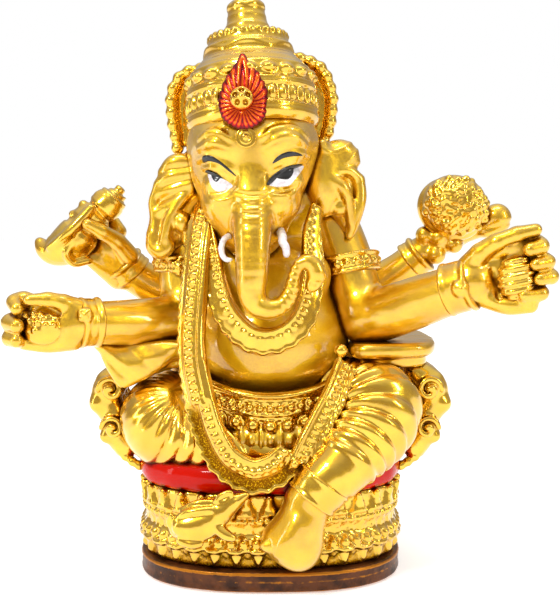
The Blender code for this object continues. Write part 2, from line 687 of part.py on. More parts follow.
FINISHES = {
    "plinth": BROWN,
    "seat_cushion": RED,
    "flame_jewel": FLAME_RED,
    "tusk_left": WHITE,
    "tusk_right": WHITE,
    "sash": BRIGHT_GOLD,
    "lotus_pedestal": BRIGHT_GOLD,
    "mouse": BRIGHT_GOLD,
    "anklet": BRIGHT_GOLD,
}
SEAT = ("plinth", "lotus_pedestal", "seat_cushion", "throne_back", "armrest", "throne_side", "centre_pin", "mouse")


def build():
    clear_scene()
    add("plinth", plinth())
    add("lotus_pedestal", lotus_pedestal())
    add("seat_cushion", seat_cushion())
    add("torso", torso(), "seat_cushion")
    add("throne_back", throne_back(), "seat_cushion", "torso")
    add("folded_leg", folded_leg(), "seat_cushion", "torso", "throne_back")
    add("hanging_leg", hanging_leg(), "seat_cushion", "lotus_pedestal", "plinth", "torso", "folded_leg")
    add("anklet", anklet(), "hanging_leg", "seat_cushion", "lotus_pedestal")
    add("waist_belt", waist_belt(), "torso", "throne_back", "folded_leg", "hanging_leg")
    add("waist_cloth", waist_cloth(), "torso", "waist_belt", "folded_leg", "hanging_leg")
    add("sash", sash(), "torso", "folded_leg", "hanging_leg", "waist_belt", "waist_cloth", "seat_cushion", "anklet")
    add("head", head(), "torso", "sash")
    add("crown", crown(), "head")
    add("necklace", necklace(), "torso", "sash", "head")
    for side, where in ((-1, "left"), (1, "right")):
        add(f"tusk_{where}", tusk(side), "head", "necklace")
        add(f"ear_{where}", ear(side), "head", "crown", "torso", "sash", "necklace")
        add(f"crown_fan_{where}", crown_fan(side), "crown", "head", f"ear_{where}")
    add("flame_jewel", flame_jewel(), "crown", "head")
    add("jewel_rosette", jewel_rosette(), "flame_jewel", "crown")
    add("forehead_disc", forehead_disc(), "head", "flame_jewel", "crown")
    add("front_left_arm", front_left_arm(), "torso", "sash", "ear_left", "folded_leg")
    add("front_right_arm", front_right_arm(), "torso", "ear_right", "sash", "necklace", "hanging_leg")
    add("rear_left_arm", rear_left_arm(), "torso", "front_left_arm")
    add("rear_right_arm", rear_right_arm(), "torso", "front_right_arm")
    add("conch", conch(), "rear_left_arm")
    add("lotus_bud", lotus_bud(), "rear_right_arm", "front_right_arm")
    add("sweet_pile", sweet_pile(), "front_left_arm")
    add("fluted_sweet", fluted_sweet(), "front_right_arm")
    for name, (centre, normal, half_x, half_y, width) in BRACELETS.items():
        add(name, band(centre, normal, half_x, half_y, width, 3.0), name.replace("bracelet_", "") + "_arm")
    for where in ("left", "right"):
        centre, normal, half_x, half_y, width = ARMLETS[f"armlet_{where}"]
        beside = (f"front_{where}_arm", f"rear_{where}_arm", "torso", f"ear_{where}", "sash", "necklace")
        add(f"armlet_{where}", band(centre, normal, half_x, half_y, width, 3.0), *beside)
    for side, where in ((-1, "left"), (1, "right")):
        clear = [f"front_{where}_arm", f"rear_{where}_arm", "torso", "folded_leg", "hanging_leg"]
        add(f"armrest_{where}", armrest(side), *clear, "throne_back", "sash")
        add(f"throne_side_{where}", throne_side(side), f"armrest_{where}", "throne_back", "folded_leg",
            "hanging_leg", "seat_cushion")
    add("mouse", mouse(), "lotus_pedestal", "seat_cushion", "sash", "plinth", "hanging_leg", "folded_leg")
    for name in solids:
        solids[name] = socketed(name, solids[name])
    for name, (start, end, radius, _) in PINS.items():
        add(name, rod(start, end, radius))
    seat, figure = group("seat"), group("figure")
    for name, mesh in solids.items():
        finish = STEEL if name in PINS else FINISHES.get(name, GOLD)
        place(name, mesh, finish, seat if name.startswith(SEAT) else figure)


build()
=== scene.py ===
"""A gilded resin idol: a seated four-armed elephant-headed deity on a cushioned lotus pedestal.

Every casting is sculpted as clay: a grid of signed distances, in millimetres, that balls, limbs, bands and
turned profiles are added to or carved from, and that is then skinned. The frame gives the idol's size; each
piece stands for the frame's node of the same name. Left and right are the viewer's.
"""

import math

import bpy
import numpy as np
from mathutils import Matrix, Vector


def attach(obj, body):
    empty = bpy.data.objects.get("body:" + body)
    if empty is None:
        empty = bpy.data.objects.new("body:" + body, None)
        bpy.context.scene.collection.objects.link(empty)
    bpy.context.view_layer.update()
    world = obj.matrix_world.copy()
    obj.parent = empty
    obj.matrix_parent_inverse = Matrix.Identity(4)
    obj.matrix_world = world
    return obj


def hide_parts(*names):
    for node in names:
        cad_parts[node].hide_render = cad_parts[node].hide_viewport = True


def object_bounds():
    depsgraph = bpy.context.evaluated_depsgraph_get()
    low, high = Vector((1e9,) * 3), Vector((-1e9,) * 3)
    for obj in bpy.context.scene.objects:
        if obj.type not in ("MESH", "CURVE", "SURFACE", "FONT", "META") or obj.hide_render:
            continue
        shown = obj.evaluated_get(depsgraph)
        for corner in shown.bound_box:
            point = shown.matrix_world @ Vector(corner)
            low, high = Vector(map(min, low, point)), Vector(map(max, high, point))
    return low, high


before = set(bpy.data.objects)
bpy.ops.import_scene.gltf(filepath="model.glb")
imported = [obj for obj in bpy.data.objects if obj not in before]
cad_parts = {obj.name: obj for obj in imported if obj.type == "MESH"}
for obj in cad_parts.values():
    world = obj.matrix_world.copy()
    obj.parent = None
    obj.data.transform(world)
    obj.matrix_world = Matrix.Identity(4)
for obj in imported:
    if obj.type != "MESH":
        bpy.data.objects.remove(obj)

import openvdb
from mathutils import Euler, Matrix, Vector

CAD_BOX = [list(corner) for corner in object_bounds()]
HEIGHT = CAD_BOX[1][2] - CAD_BOX[0][2]
DRAWN_HEIGHT = 149.4  # the sculpting coordinates are millimetres on an idol this tall
MM = HEIGHT / DRAWN_HEIGHT  # one sculpting millimetre in metres


def grid_step(full):
    """A grid's spacing in millimetres."""
    return full


COARSE, MEDIUM, FINE = grid_step(0.5), grid_step(0.4), grid_step(0.33)
FAR = 4.0  # distances are kept up to this far from a surface
MARGIN = FAR / 2  # how far beyond a shape its distances are worked out
FULL_TURN = 2 * math.pi


# --- Clay ----------------------------------------------------------------------


def smooth_least(a, b, blend):
    """The lesser of two distances, rounded over where they are within blend of each other."""
    least = np.minimum(a, b)
    if blend <= 0:
        return least
    near = np.maximum(blend - np.abs(a - b), 0) / blend
    return least - near * near * (blend / 4)


class Clay:
    """A box of signed distances, negative inside the clay, and of how much darker its surface is drawn."""

    def __init__(self, low, high, voxel=MEDIUM):
        self.voxel = voxel
        self.low = np.floor(np.array(low, float) / voxel) * voxel
        counts = np.ceil((np.array(high, float) - self.low) / voxel).astype(int) + 1
        self.axes = [(self.low[i] + voxel * np.arange(counts[i])).astype(np.float32) for i in range(3)]
        self.field = np.full(counts, FAR, np.float32)
        self.darkening = np.zeros(counts, np.float32)

    def region(self, low=(-np.inf,) * 3, high=(np.inf,) * 3):
        """The slices and coordinates of the grid points in a box, or of all of them."""
        cut = tuple(slice(*np.searchsorted(axis, (a, b))) for axis, a, b in zip(self.axes, low, high))
        x, y, z = (axis[c] for axis, c in zip(self.axes, cut))
        return cut, (x[:, None, None], y[None, :, None], z[None, None, :])

    def put(self, cut, distance, blend=0.0, carve=False):
        """Joins a shape to the clay, or carves it out."""
        old = self.field[cut]
        if carve:
            self.field[cut] = -smooth_least(-old, distance, blend)
        else:
            self.field[cut] = smooth_least(old, distance, blend)

    def sample(self, points):
        """The distance at each of some points, between grid points too."""
        return trilinear(self.field, (np.asarray(points, float) - self.low) / self.voxel)

    def slope(self, points):
        """The unit direction out of the clay at each point."""
        step = self.voxel * 0.75
        shifts = np.eye(3) * step
        rise = np.stack([self.sample(points + s) - self.sample(points - s) for s in shifts], axis=-1)
        return rise / np.maximum(np.linalg.norm(rise, axis=-1, keepdims=True), 1e-6)

    def land(self, points, way):
        """Moves points along a direction until they rest on the clay."""
        points = np.array(points, float)
        way = unit(way)
        steps, longest = 60, 1.5
        for _ in range(steps):
            points = points + way * np.clip(self.sample(points), -longest, longest)[:, None] * 0.9
        return points


def corner_mix(field, base, part):
    """A mix of the eight grid values round each point: part is how far it is on from base."""
    total = 0
    for corner in np.ndindex(2, 2, 2):
        index = base + corner
        weight = np.prod(np.where(corner, part, 1 - part), axis=-1)
        total = total + weight * field[index[:, 0], index[:, 1], index[:, 2]]
    return total


def trilinear(field, spot):
    """A field's values at points given in grid steps."""
    spot = np.clip(spot, 0, np.array(field.shape) - 1.001)
    base = spot.astype(int)
    return corner_mix(field, base, spot - base)


def capped(distance):
    """Distances held within FAR of the surface, as the grid stores them."""
    return np.clip(distance, -FAR, FAR).astype(np.float32)


def unit(vector):
    """A vector's direction."""
    return np.array(vector, float) / np.linalg.norm(vector)


def rounded(a, b, radius):
    """Where both distances are inside, with the corner between them rounded."""
    a, b = a + radius, b + radius
    return np.minimum(np.maximum(a, b), 0) + np.hypot(np.maximum(a, 0), np.maximum(b, 0)) - radius


def run_along(points):
    """How far along a run of points each one is."""
    return np.concatenate([[0], np.cumsum(np.linalg.norm(np.diff(points[:, :3], axis=0), axis=1))])


def curve(stations, step=0.8):
    """Closely spaced points on the smooth curve through the stations; extra columns are carried along."""
    stations = np.array(stations, float)
    padded = np.vstack([2 * stations[0] - stations[1], stations, 2 * stations[-1] - stations[-2]])
    points = []
    for a, b, c, d in zip(padded, padded[1:], padded[2:], padded[3:]):
        count = max(2, int(np.linalg.norm((c - b)[:3]) / step) + 1)
        for u in np.linspace(0, 1, count, endpoint=False):
            rise = (c - a) * u + (2 * a - 5 * b + 4 * c - d) * u**2 + (3 * b - 3 * c + d - a) * u**3
            points.append(b + rise / 2)
    return np.vstack([points, stations[-1]])


def paced(points, spacing):
    """Points at an even spacing along a run of points."""
    run = run_along(points)
    count = max(2, int(round(run[-1] / spacing)) + 1)
    at = np.linspace(0, run[-1], count)
    return np.stack([np.interp(at, run, column) for column in points.T], axis=-1)


def ball(clay, centre, radii, blend=0.0, turn=None, carve=False):
    """An ellipsoid; turn is its rotation about X, Y and Z in degrees."""
    radii = np.broadcast_to(np.array(radii, float), 3)
    centre = np.asarray(centre, float)
    reach = max(radii) + blend + MARGIN
    cut, (x, y, z) = clay.region(centre - reach, centre + reach)
    x, y, z = x - centre[0], y - centre[1], z - centre[2]
    if turn is not None:
        spin = np.array(Euler([math.radians(a) for a in turn]).to_matrix())
        x, y, z = (spin[0, i] * x + spin[1, i] * y + spin[2, i] * z for i in range(3))
    a, b, c = radii
    near = np.sqrt((x / a) ** 2 + (y / b) ** 2 + (z / c) ** 2)
    steep = np.sqrt((x / a**2) ** 2 + (y / b**2) ** 2 + (z / c**2) ** 2)
    clay.put(cut, near * (near - 1) / np.maximum(steep, 1e-6), blend, carve)


def near_segment(clay, cut, grid, start, end, reach):
    """The part of a region near a segment: its slices, each point's share of the way along the segment, and
    the way from the segment to the point."""
    corner = np.array([axis[c.start] for axis, c in zip(clay.axes, cut)])
    first = np.floor((np.minimum(start, end) - reach - corner) / clay.voxel).astype(int)
    last = np.ceil((np.maximum(start, end) + reach - corner) / clay.voxel).astype(int) + 1
    sub = tuple(slice(max(f, 0), max(t, 0)) for f, t in zip(first, last))
    way = end - start
    x, y, z = grid
    dx, dy, dz = x[sub[0]] - start[0], y[:, sub[1]] - start[1], z[:, :, sub[2]] - start[2]
    share = np.clip((dx * way[0] + dy * way[1] + dz * way[2]) / np.linalg.norm(way) ** 2, 0, 1)
    return sub, share, (dx - share * way[0], dy - share * way[1], dz - share * way[2])


def limb(clay, stations, blend=0.0, relief=None, carve=False):
    """A round limb through stations of (x, y, z, radius); relief(along, x, y, z) adds to its distance."""
    path = curve(stations)
    reach = path[:, 3].max() + blend + MARGIN
    cut, grid = clay.region(path[:, :3].min(0) - reach, path[:, :3].max(0) + reach)
    distance = np.full(tuple(axis.size for axis in grid), FAR, np.float32)
    along = np.zeros_like(distance)
    run = 0.0
    for a, b in zip(path, path[1:]):
        length = np.linalg.norm(b[:3] - a[:3])
        if length < 1e-6:
            continue
        reach = max(a[3], b[3]) + blend + MARGIN
        sub, share, (dx, dy, dz) = near_segment(clay, cut, grid, a[:3], b[:3], reach)
        gap = np.sqrt(dx * dx + dy * dy + dz * dz) - (a[3] + share * (b[3] - a[3]))
        if relief:
            along[sub] = np.where(gap < distance[sub], run + share * length, along[sub])
        distance[sub] = np.minimum(distance[sub], gap)
        run += length
    if relief:
        distance = distance + relief(along, *grid)
    clay.put(cut, distance, blend, carve)


def strap(clay, stations, faces, half_width, depth, blend=0.0, relief=None, darkening=None):
    """A flat band along stations of (x, y, z): faces holds the way it looks at each, relief(along, across)
    its raised pattern in millimetres and darkening(along, across) how much darker it is drawn. Gives back
    its middle line."""
    half_width = np.broadcast_to(np.array(half_width, float), len(stations))
    line = curve(np.column_stack([stations, faces, half_width]))
    path, widths = line[:, :3], line[:, 6]
    across, out = strap_sides(line)
    reach = widths.max() + blend + MARGIN
    cut, grid = clay.region(path.min(0) - reach, path.max(0) + reach)
    shape = tuple(axis.size for axis in grid)
    unreached = 1e3
    nearest = np.full(shape, unreached, np.float32)
    u, w, s, width = (np.zeros(shape, np.float32) for _ in range(4))
    run = 0.0
    for i, (start, end) in enumerate(zip(path, path[1:])):
        length = np.linalg.norm(end - start)
        sub, share, way = near_segment(clay, cut, grid, start, end, reach)
        gap = way[0] * way[0] + way[1] * way[1] + way[2] * way[2]
        closer = gap < nearest[sub]
        nearest[sub] = np.where(closer, gap, nearest[sub])
        for kept, sides in ((u, across), (w, out)):
            side = sides[i] + (sides[i + 1] - sides[i]) * share[..., None]
            here = way[0] * side[..., 0] + way[1] * side[..., 1] + way[2] * side[..., 2]
            kept[sub] = np.where(closer, here, kept[sub])
        s[sub] = np.where(closer, run + share * length, s[sub])
        width[sub] = np.where(closer, widths[i] + (widths[i + 1] - widths[i]) * share, width[sub])
        run += length
    rounding = 0.5
    beyond = np.sqrt(np.maximum(nearest - u * u - w * w, 0))  # past the ends
    over = np.where(w > 0, np.abs(w) - depth / 2 - relief(s, u), np.abs(w) - depth / 2) + rounding
    side = np.abs(u) - width + rounding
    distance = np.minimum(np.maximum(over, side), 0)
    distance = distance + np.sqrt(np.maximum(over, 0) ** 2 + np.maximum(side, 0) ** 2 + beyond**2) - rounding
    clay.put(cut, np.where(nearest < unreached, distance, FAR).astype(np.float32), blend)
    if darkening:
        near = 1.5
        clay.darkening[cut] = np.where(distance < near, darkening(s, u), clay.darkening[cut])
    return line


def strap_sides(line):
    """The directions across a strap and out of its face at each point of its line."""
    tangent = np.gradient(line[:, :3], axis=0)
    across = np.cross(tangent, line[:, 3:6])
    across /= np.linalg.norm(across, axis=1, keepdims=True)
    out = np.cross(across, tangent)
    return across, out / np.linalg.norm(out, axis=1, keepdims=True)


def strap_beads(clay, strap_line, across, spacing, radius, lift, start=0):
    """Round beads on a strap's face, in a row at a distance across it from its middle."""
    line = paced(strap_line, spacing)
    side, out = strap_sides(line)
    for spot in (line[:, :3] + side * across + out * lift)[start:]:
        ball(clay, spot, radius, 0.2)


def oval_rim(half, power, count, offset=0.0, start=0.0):
    """Evenly spaced points round a superellipse, moved out by offset, each with its outward direction."""
    angle = np.linspace(0, FULL_TURN, 1441)
    c, s = np.cos(angle), np.sin(angle)
    x = half[0] * np.sign(c) * np.abs(c) ** (2 / power)
    y = half[1] * np.sign(s) * np.abs(s) ** (2 / power)
    run = np.concatenate([[0], np.cumsum(np.hypot(np.diff(x), np.diff(y)))])
    at = ((np.arange(count) + start) / count % 1.0) * run[-1]
    px, py = np.interp(at, run, x), np.interp(at, run, y)
    nx = np.sign(px) * np.abs(px / half[0]) ** (power - 1) / half[0]
    ny = np.sign(py) * np.abs(py / half[1]) ** (power - 1) / half[1]
    size = np.hypot(nx, ny)
    nx, ny = nx / size, ny / size
    return [((a + offset * p, b + offset * q), (p, q)) for a, b, p, q in zip(px, py, nx, ny)]


def outline_distance(profile, out, up):
    """Signed distance from points (out, up) to a closed polygon."""
    nearest = np.full(np.broadcast(out, up).shape, 1e9)
    inside = np.zeros(nearest.shape, bool)
    for (ax, ay), (bx, by) in zip(profile, profile[1:] + profile[:1]):
        wx, wy = bx - ax, by - ay
        share = np.clip(((out - ax) * wx + (up - ay) * wy) / max(wx * wx + wy * wy, 1e-9), 0, 1)
        nearest = np.minimum(nearest, (out - ax - share * wx) ** 2 + (up - ay - share * wy) ** 2)
        crosses = (ay <= up) != (by <= up)
        if ay != by:
            inside ^= crosses & (out < ax + (up - ay) / (by - ay) * wx)
    return np.where(inside, -1, 1) * np.sqrt(nearest)


def turned(clay, half, profile, power=2.0, relief=None):
    """A shape turned about the vertical: profile lists (offset out from the oval of half-sizes half,
    height), bottom to top; relief(angle, offset, height) is added to its distance."""
    cut, (x, y, z) = clay.region()
    x, y = x[..., 0], y[..., 0]
    a, b = half
    rho = ((np.abs(x) / a) ** power + (np.abs(y) / b) ** power) ** (1 / power)
    rho = np.maximum(rho, 1e-3)
    gx = (np.abs(x) / (a * rho)) ** (power - 1) / a
    gy = (np.abs(y) / (b * rho)) ** (power - 1) / b
    offset = (rho - 1) / np.maximum(np.hypot(gx, gy), 1e-6)
    offset = np.clip(offset, -min(half), FAR * 3)
    core = -min(half) - 1.0
    closed = [(core, profile[0][1]), *profile, (core, profile[-1][1])]
    step = 0.1
    columns = np.arange(core + 0.5, FAR * 3 + 0.2, step)
    table = outline_distance(closed, columns[:, None], z[0, 0][None, :]).astype(np.float32)
    spot = np.clip((offset - columns[0]) / step, 0, len(columns) - 1.001)
    index = spot.astype(int)
    part = (spot - index)[..., None].astype(np.float32)
    distance = table[index] * (1 - part) + table[index + 1] * part
    if relief:
        distance = distance + relief(np.arctan2(y, x)[..., None], offset[..., None], z)
    clay.put(cut, capped(distance))


# --- Skins ---------------------------------------------------------------------

pieces = []
UNEVEN_SCALE = 3.1  # how wide the casting's dents are, in millimetres


def smooth_noise(points, scale, seed):
    """Gentle random unevenness between -1 and 1, with humps about scale wide."""
    size = 24
    lattice = np.random.default_rng(seed).uniform(-1, 1, (size, size, size))
    spot = (points / scale) % (size - 2)
    base = spot.astype(int)
    part = spot - base
    return corner_mix(lattice, base, part * part * (3 - 2 * part))


def mesh_object(name, points, *faces):
    """An object from points in millimetres and its faces, in arrays of one width each."""
    mesh = bpy.data.meshes.new(name)
    corners = np.concatenate([group.ravel() for group in faces]).astype(np.int32)
    totals = np.concatenate([np.full(len(group), group.shape[1]) for group in faces]).astype(np.int32)
    mesh.vertices.add(len(points))
    mesh.vertices.foreach_set("co", (points * MM).astype(np.float32).ravel())
    mesh.loops.add(len(corners))
    mesh.loops.foreach_set("vertex_index", corners)
    mesh.polygons.add(len(totals))
    mesh.polygons.foreach_set("loop_start", (np.cumsum(totals) - totals).astype(np.int32))
    mesh.polygons.foreach_set("loop_total", totals)
    mesh.update(calc_edges=True)
    mesh.shade_smooth()
    obj = bpy.data.objects.new(name, mesh)
    bpy.context.scene.collection.objects.link(obj)
    return obj


def mesh_points(mesh, what="co"):
    """A mesh's points, or their normals, as rows."""
    rows = np.empty(len(mesh.vertices) * 3, np.float32)
    mesh.vertices.foreach_get(what, rows)
    return rows.reshape(-1, 3)


def mesh_triangles(mesh):
    """A mesh's faces cut into triangles, as rows of point numbers."""
    mesh.calc_loop_triangles()
    corners = np.empty(len(mesh.loop_triangles) * 3, np.int32)
    mesh.loop_triangles.foreach_get("vertices", corners)
    return corners.reshape(-1, 3)


def softened(field):
    """The distances averaged with their neighbours, as a mould rounds off what is cast in it."""
    for axis in range(3):
        field = 0.5 * field + 0.25 * (np.roll(field, 1, axis) + np.roll(field, -1, axis))
    return field


def store(piece, attribute, values):
    """Stores a number at each point of a piece, for its material to read."""
    made = piece.data.attributes.new(attribute, "FLOAT", "POINT")
    made.data.foreach_set("value", np.asarray(values, np.float32))


def skin(clay, name, finish, pose=None, uneven=0.06, replaces=True, coarse=0.0):
    """Skins the clay as a piece, which replaces the frame's node of the same name unless it is only paint;
    uneven is the depth of its dents and coarse thins its flat faces."""
    clay.field = softened(clay.field)
    grid = openvdb.FloatGrid(FAR)
    grid.copyFromArray(clay.field)
    points, tris, quads = grid.convertToPolygons(0.0, coarse)
    points = points * clay.voxel + clay.low
    points = points - clay.sample(points)[:, None] * clay.slope(points)
    if uneven:
        dents = uneven * smooth_noise(points, UNEVEN_SCALE, len(pieces))
        points = points + clay.slope(points) * dents[:, None]
    points, tris, quads = biggest_body(points, tris.astype(int), quads.astype(int))
    darkening = trilinear(clay.darkening, (points - clay.low) / clay.voxel)
    if pose is not None:
        turn = np.array(pose)
        points = points @ turn[:3, :3].T + turn[:3, 3]
    piece = mesh_object(name, points, quads, tris)
    if darkening.any():
        store(piece, "darkening", darkening)
    material, slot = finish
    piece.data.materials.append(material)
    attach(piece, "root")
    if replaces:
        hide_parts(name)
    pieces.append(piece)
    return piece


def biggest_body(points, tris, quads):
    """Drops stray crumbs that aren't joined to the main body."""
    faces = [f for f in (tris, quads) if len(f)]
    label = np.arange(len(points))
    while True:
        new = label.copy()
        for group in faces:
            low = new[group].min(axis=1)
            for k in range(group.shape[1]):
                np.minimum.at(new, group[:, k], low)
        new = new[new]
        if (new == label).all():
            break
        label = new
    roots, counts = np.unique(label, return_counts=True)
    keep = label == roots[counts.argmax()]
    index = np.cumsum(keep) - 1
    return points[keep], *(index[f[keep[f[:, 0]]]] for f in (tris, quads))


# --- Materials -----------------------------------------------------------------


class Nodes:
    """Short names for building a node tree."""

    def __init__(self, name):
        self.material = bpy.data.materials.new(name)
        self.material.use_nodes = True
        self.tree = self.material.node_tree
        self.shader = self.tree.nodes["Principled BSDF"]
        coords = self.tree.nodes.new("ShaderNodeTexCoord")
        self.place = coords.outputs["Object"]

    def node(self, kind, settings=None, **inputs):
        made = self.tree.nodes.new(kind)
        for key, value in (settings or {}).items():
            setattr(made, key, value)
        for key, value in inputs.items():
            self.feed(made.inputs[int(key[1:]) if key[1:].isdigit() else key], value)
        return made

    def feed(self, socket, value):
        if isinstance(value, bpy.types.NodeSocket):
            self.tree.links.new(value, socket)
        else:
            socket.default_value = value

    def noise(self, size, detail=3.0):
        """Noise whose features are about size millimetres."""
        found = self.node("ShaderNodeTexNoise", Vector=self.place, Detail=detail, Roughness=0.55)
        found.inputs["Scale"].default_value = 1 / (size * MM)
        return found.outputs["Fac"]

    def math(self, operation, a, b, clamp=False):
        settings = {"operation": operation, "use_clamp": clamp}
        return self.node("ShaderNodeMath", settings, i0=a, i1=b).outputs[0]

    def add(self, a, b, clamp=False):
        return self.math("ADD", a, b, clamp)

    def less(self, a, b, clamp=False):
        return self.math("SUBTRACT", a, b, clamp)

    def times(self, a, b):
        return self.math("MULTIPLY", a, b)

    def ragged(self, level, size, detail, amount):
        """A level made uneven by noise."""
        return self.add(level, self.times(self.less(self.noise(size, detail), 0.5), amount))

    def between(self, value, low, high, out_low=0.0, out_high=1.0):
        """Maps a value's range, held at its ends."""
        settings = {"clamp": True, "interpolation_type": "SMOOTHSTEP"}
        found = self.node("ShaderNodeMapRange", settings, Value=value)
        for key, number in zip(("From Min", "From Max", "To Min", "To Max"), (low, high, out_low, out_high)):
            found.inputs[key].default_value = number
        return found.outputs["Result"]

    def mix(self, share, a, b):
        return self.node("ShaderNodeMix", {"data_type": "RGBA"}, i0=share, i6=a, i7=b).outputs[2]

    def marked(self, name):
        """An attribute stored on the mesh; 0 where a piece has none."""
        return self.node("ShaderNodeAttribute", {"attribute_name": name}).outputs["Fac"]

    def bump(self, height, strength, depth):
        """Feeds a height, worth depth millimetres, to the shader's normal."""
        found = self.node("ShaderNodeBump", Height=height, Strength=strength)
        found.inputs["Distance"].default_value = depth * MM
        self.tree.links.new(found.outputs["Normal"], self.shader.inputs["Normal"])

    def set(self, **inputs):
        """Sets or links the shader's inputs by name and gives back the material."""
        for key, value in inputs.items():
            self.feed(self.shader.inputs[key.replace("_", " ")], value)
        return self.material


def rgb(red, green, blue):
    """A screen colour, 0 to 255, as the shader's linear colour."""
    shares = [c / 255 for c in (red, green, blue)]
    return (*(((c + 0.055) / 1.055) ** 2.4 if c > 0.04 else c / 12.92 for c in shares), 1.0)


GOLD = rgb(226, 175, 18)
GOLD_PALE = rgb(238, 193, 38)
# Browns of the painted shade that the gold takes in hollows and gaps.
SHADE_BROWN = rgb(128, 66, 6)
SHADE_BROWN_DEEP = rgb(92, 52, 4)


def gold(name, roughness, grain, shade_strength):
    """Gold lacquer over resin: cloudy in tone and flaked, with brown painted shade in the hollows; marked
    attributes say where it is darkened further and where it is matt."""
    n = Nodes(name)
    cloud = n.between(n.noise(9.0, 4.0), 0.35, 0.7)
    metal = n.mix(cloud, GOLD, GOLD_PALE)
    darkening, matt = n.marked("darkening"), n.marked("matt")
    # Painted shade: the gold turns brown where a point is enclosed in a hollow and where a piece is marked
    # darker, deepest where these are strongest.
    shade_level = n.add(n.ragged(n.marked("hollow"), 1.3, 4.0, 0.4), darkening)
    shade_share = n.between(shade_level, 0.5, 1.0, 0.0, shade_strength)
    deep = n.between(shade_level, 0.85, 1.3, 0.0, shade_strength)
    colour = n.mix(deep, n.mix(shade_share, metal, SHADE_BROWN), SHADE_BROWN_DEEP)
    flecks = n.times(n.between(n.noise(0.32, 1.0), 0.56, 0.66), darkening)
    colour = n.mix(flecks, colour, GOLD)
    speckle = n.between(n.noise(0.45, 2.0), 0.4, 0.62)
    rough = n.add(n.times(speckle, grain * 0.2), roughness)
    rough = n.add(rough, n.times(n.add(shade_share, matt), 0.16), clamp=True)
    grit = n.add(grain, n.add(n.times(darkening, 2.0), matt))
    grit = n.times(n.noise(0.35, 3.0), grit)
    swell = n.times(n.noise(2.6, 1.0), 1.6)
    n.bump(n.add(grit, swell), 0.5, 0.09)
    metallic = n.less(1.0, n.times(deep, 0.1))
    coat = n.less(1.0, n.times(shade_share, 1.3), clamp=True)
    return n.set(Base_Color=colour, Roughness=rough, Metallic=metallic, Specular_IOR_Level=0.08,
                 Coat_Weight=coat, Coat_IOR=1.7, Coat_Roughness=0.08)


def red_enamel():
    """Thick glossy red paint, with painted shade darkening it in its hollows."""
    n = Nodes("red_enamel")
    red_hollow_shade = n.ragged(n.marked("hollow"), 4.0, 3.0, 0.7)
    # Painted shade: the red turns dark wine red in its hollows.
    tint = n.mix(n.between(red_hollow_shade, 0.1, 0.9), rgb(196, 16, 0), rgb(86, 0, 4))
    n.bump(n.noise(2.2, 2.0), 0.35, 0.25)
    rough = n.between(n.noise(1.0), 0.3, 0.7, 0.12, 0.24)
    return n.set(Base_Color=tint, Roughness=rough, Metallic=0.0, Specular_IOR_Level=0.05,
                 Coat_Weight=0.3, Coat_Roughness=0.04)


def flame_enamel():
    """Translucent red over gold: orange on the ridges, where thin enamel and painted highlight lighten it,
    and wine red in the hollows, deepened by painted shade.
    """
    n = Nodes("flame_enamel")
    raised_level = n.ragged(n.marked("ridge"), 0.9, 3.0, 0.5)
    # Painted highlight and shade: orange on the crests, wine red in the hollows.
    tint = n.mix(n.between(raised_level, 0.1, 0.7), rgb(104, 0, 16), rgb(206, 20, 2))
    tint = n.mix(n.between(raised_level, 0.62, 0.95), tint, rgb(244, 104, 10))
    n.bump(n.noise(0.8, 2.0), 0.3, 0.1)
    return n.set(Base_Color=tint, Roughness=0.24, Metallic=0.8, Coat_Weight=0.3, Coat_Roughness=0.05)


def brown_lacquer():
    """Dark lacquer with gold showing along its edges and scuffs."""
    n = Nodes("brown_lacquer")
    raised_level = n.ragged(n.marked("edge"), 1.6, 4.0, 0.6)
    rubbed = n.between(raised_level, 0.55, 0.85)
    dark = n.mix(n.between(n.noise(5.0), 0.35, 0.65), rgb(54, 28, 14), rgb(98, 54, 26))
    n.bump(n.noise(0.6, 3.0), 0.4, 0.15)
    colour = n.mix(rubbed, dark, rgb(180, 112, 28))
    return n.set(Base_Color=colour, Roughness=0.36, Metallic=n.times(rubbed, 0.9), Specular_IOR_Level=0.15,
                 Coat_Weight=0.15, Coat_Roughness=0.1)


def paint(name, colour, shade):
    """Brushed paint, a little uneven in tone."""
    n = Nodes(name)
    tint = n.mix(n.between(n.noise(1.2), 0.35, 0.7), colour, shade)
    n.bump(n.noise(0.5), 0.25, 0.06)
    return n.set(Base_Color=tint, Roughness=0.32, Coat_Weight=0.4, Coat_Roughness=0.12)


def steel():
    """Drawn steel rod, faintly scuffed."""
    n = Nodes("steel")
    n.bump(n.noise(0.4), 0.2, 0.05)
    grey = n.mix(n.between(n.noise(1.0), 0.3, 0.7), rgb(170, 170, 172), rgb(140, 140, 144))
    return n.set(Base_Color=grey, Roughness=0.35, Metallic=1.0)


# A finish is a material and the record's slot for it.
SATIN = gold("satin_gold", 0.29, 0.7, 0.75), "satin_gold"
BRIGHT = gold("bright_gold", 0.22, 0.12, 0.85), "bright_gold"
RED = red_enamel(), "red_enamel"
FLAME = flame_enamel(), "flame_enamel"
BROWN = brown_lacquer(), "brown_lacquer"
WHITE = paint("white_enamel", rgb(246, 244, 246), rgb(214, 206, 214)), "white_enamel"
BLACK = paint("black_paint", rgb(14, 12, 14), rgb(6, 5, 6)), "brown_lacquer"
STEEL = steel()


# --- Relief patterns -----------------------------------------------------------


def pleat(t):
    """Rounded ridges, one per whole number, with sharp grooves between: 0 in a groove, 1 on a ridge."""
    return np.abs(np.sin(math.pi * t))


def hump(t, centre, half):
    """A smooth ridge across t, 1 at its centre and 0 beyond half."""
    return np.maximum(1 - ((t - centre) / half) ** 2, 0)


def fade(t, low, high):
    """0 below low, 1 above high (or the other way round when low is the greater), smooth between."""
    share = np.clip((t - low) / (high - low), 0, 1)
    return share * share * (3 - 2 * share)


def cells(t, pitch):
    """Distance from the middle of each repeat, in millimetres."""
    return ((t / pitch) % 1 - 0.5) * pitch


def dots(s, u, pitch, radius):
    """A row of round beads along s at u = 0."""
    return np.sqrt(np.maximum(1 - (cells(s, pitch) ** 2 + u**2) / radius**2, 0))


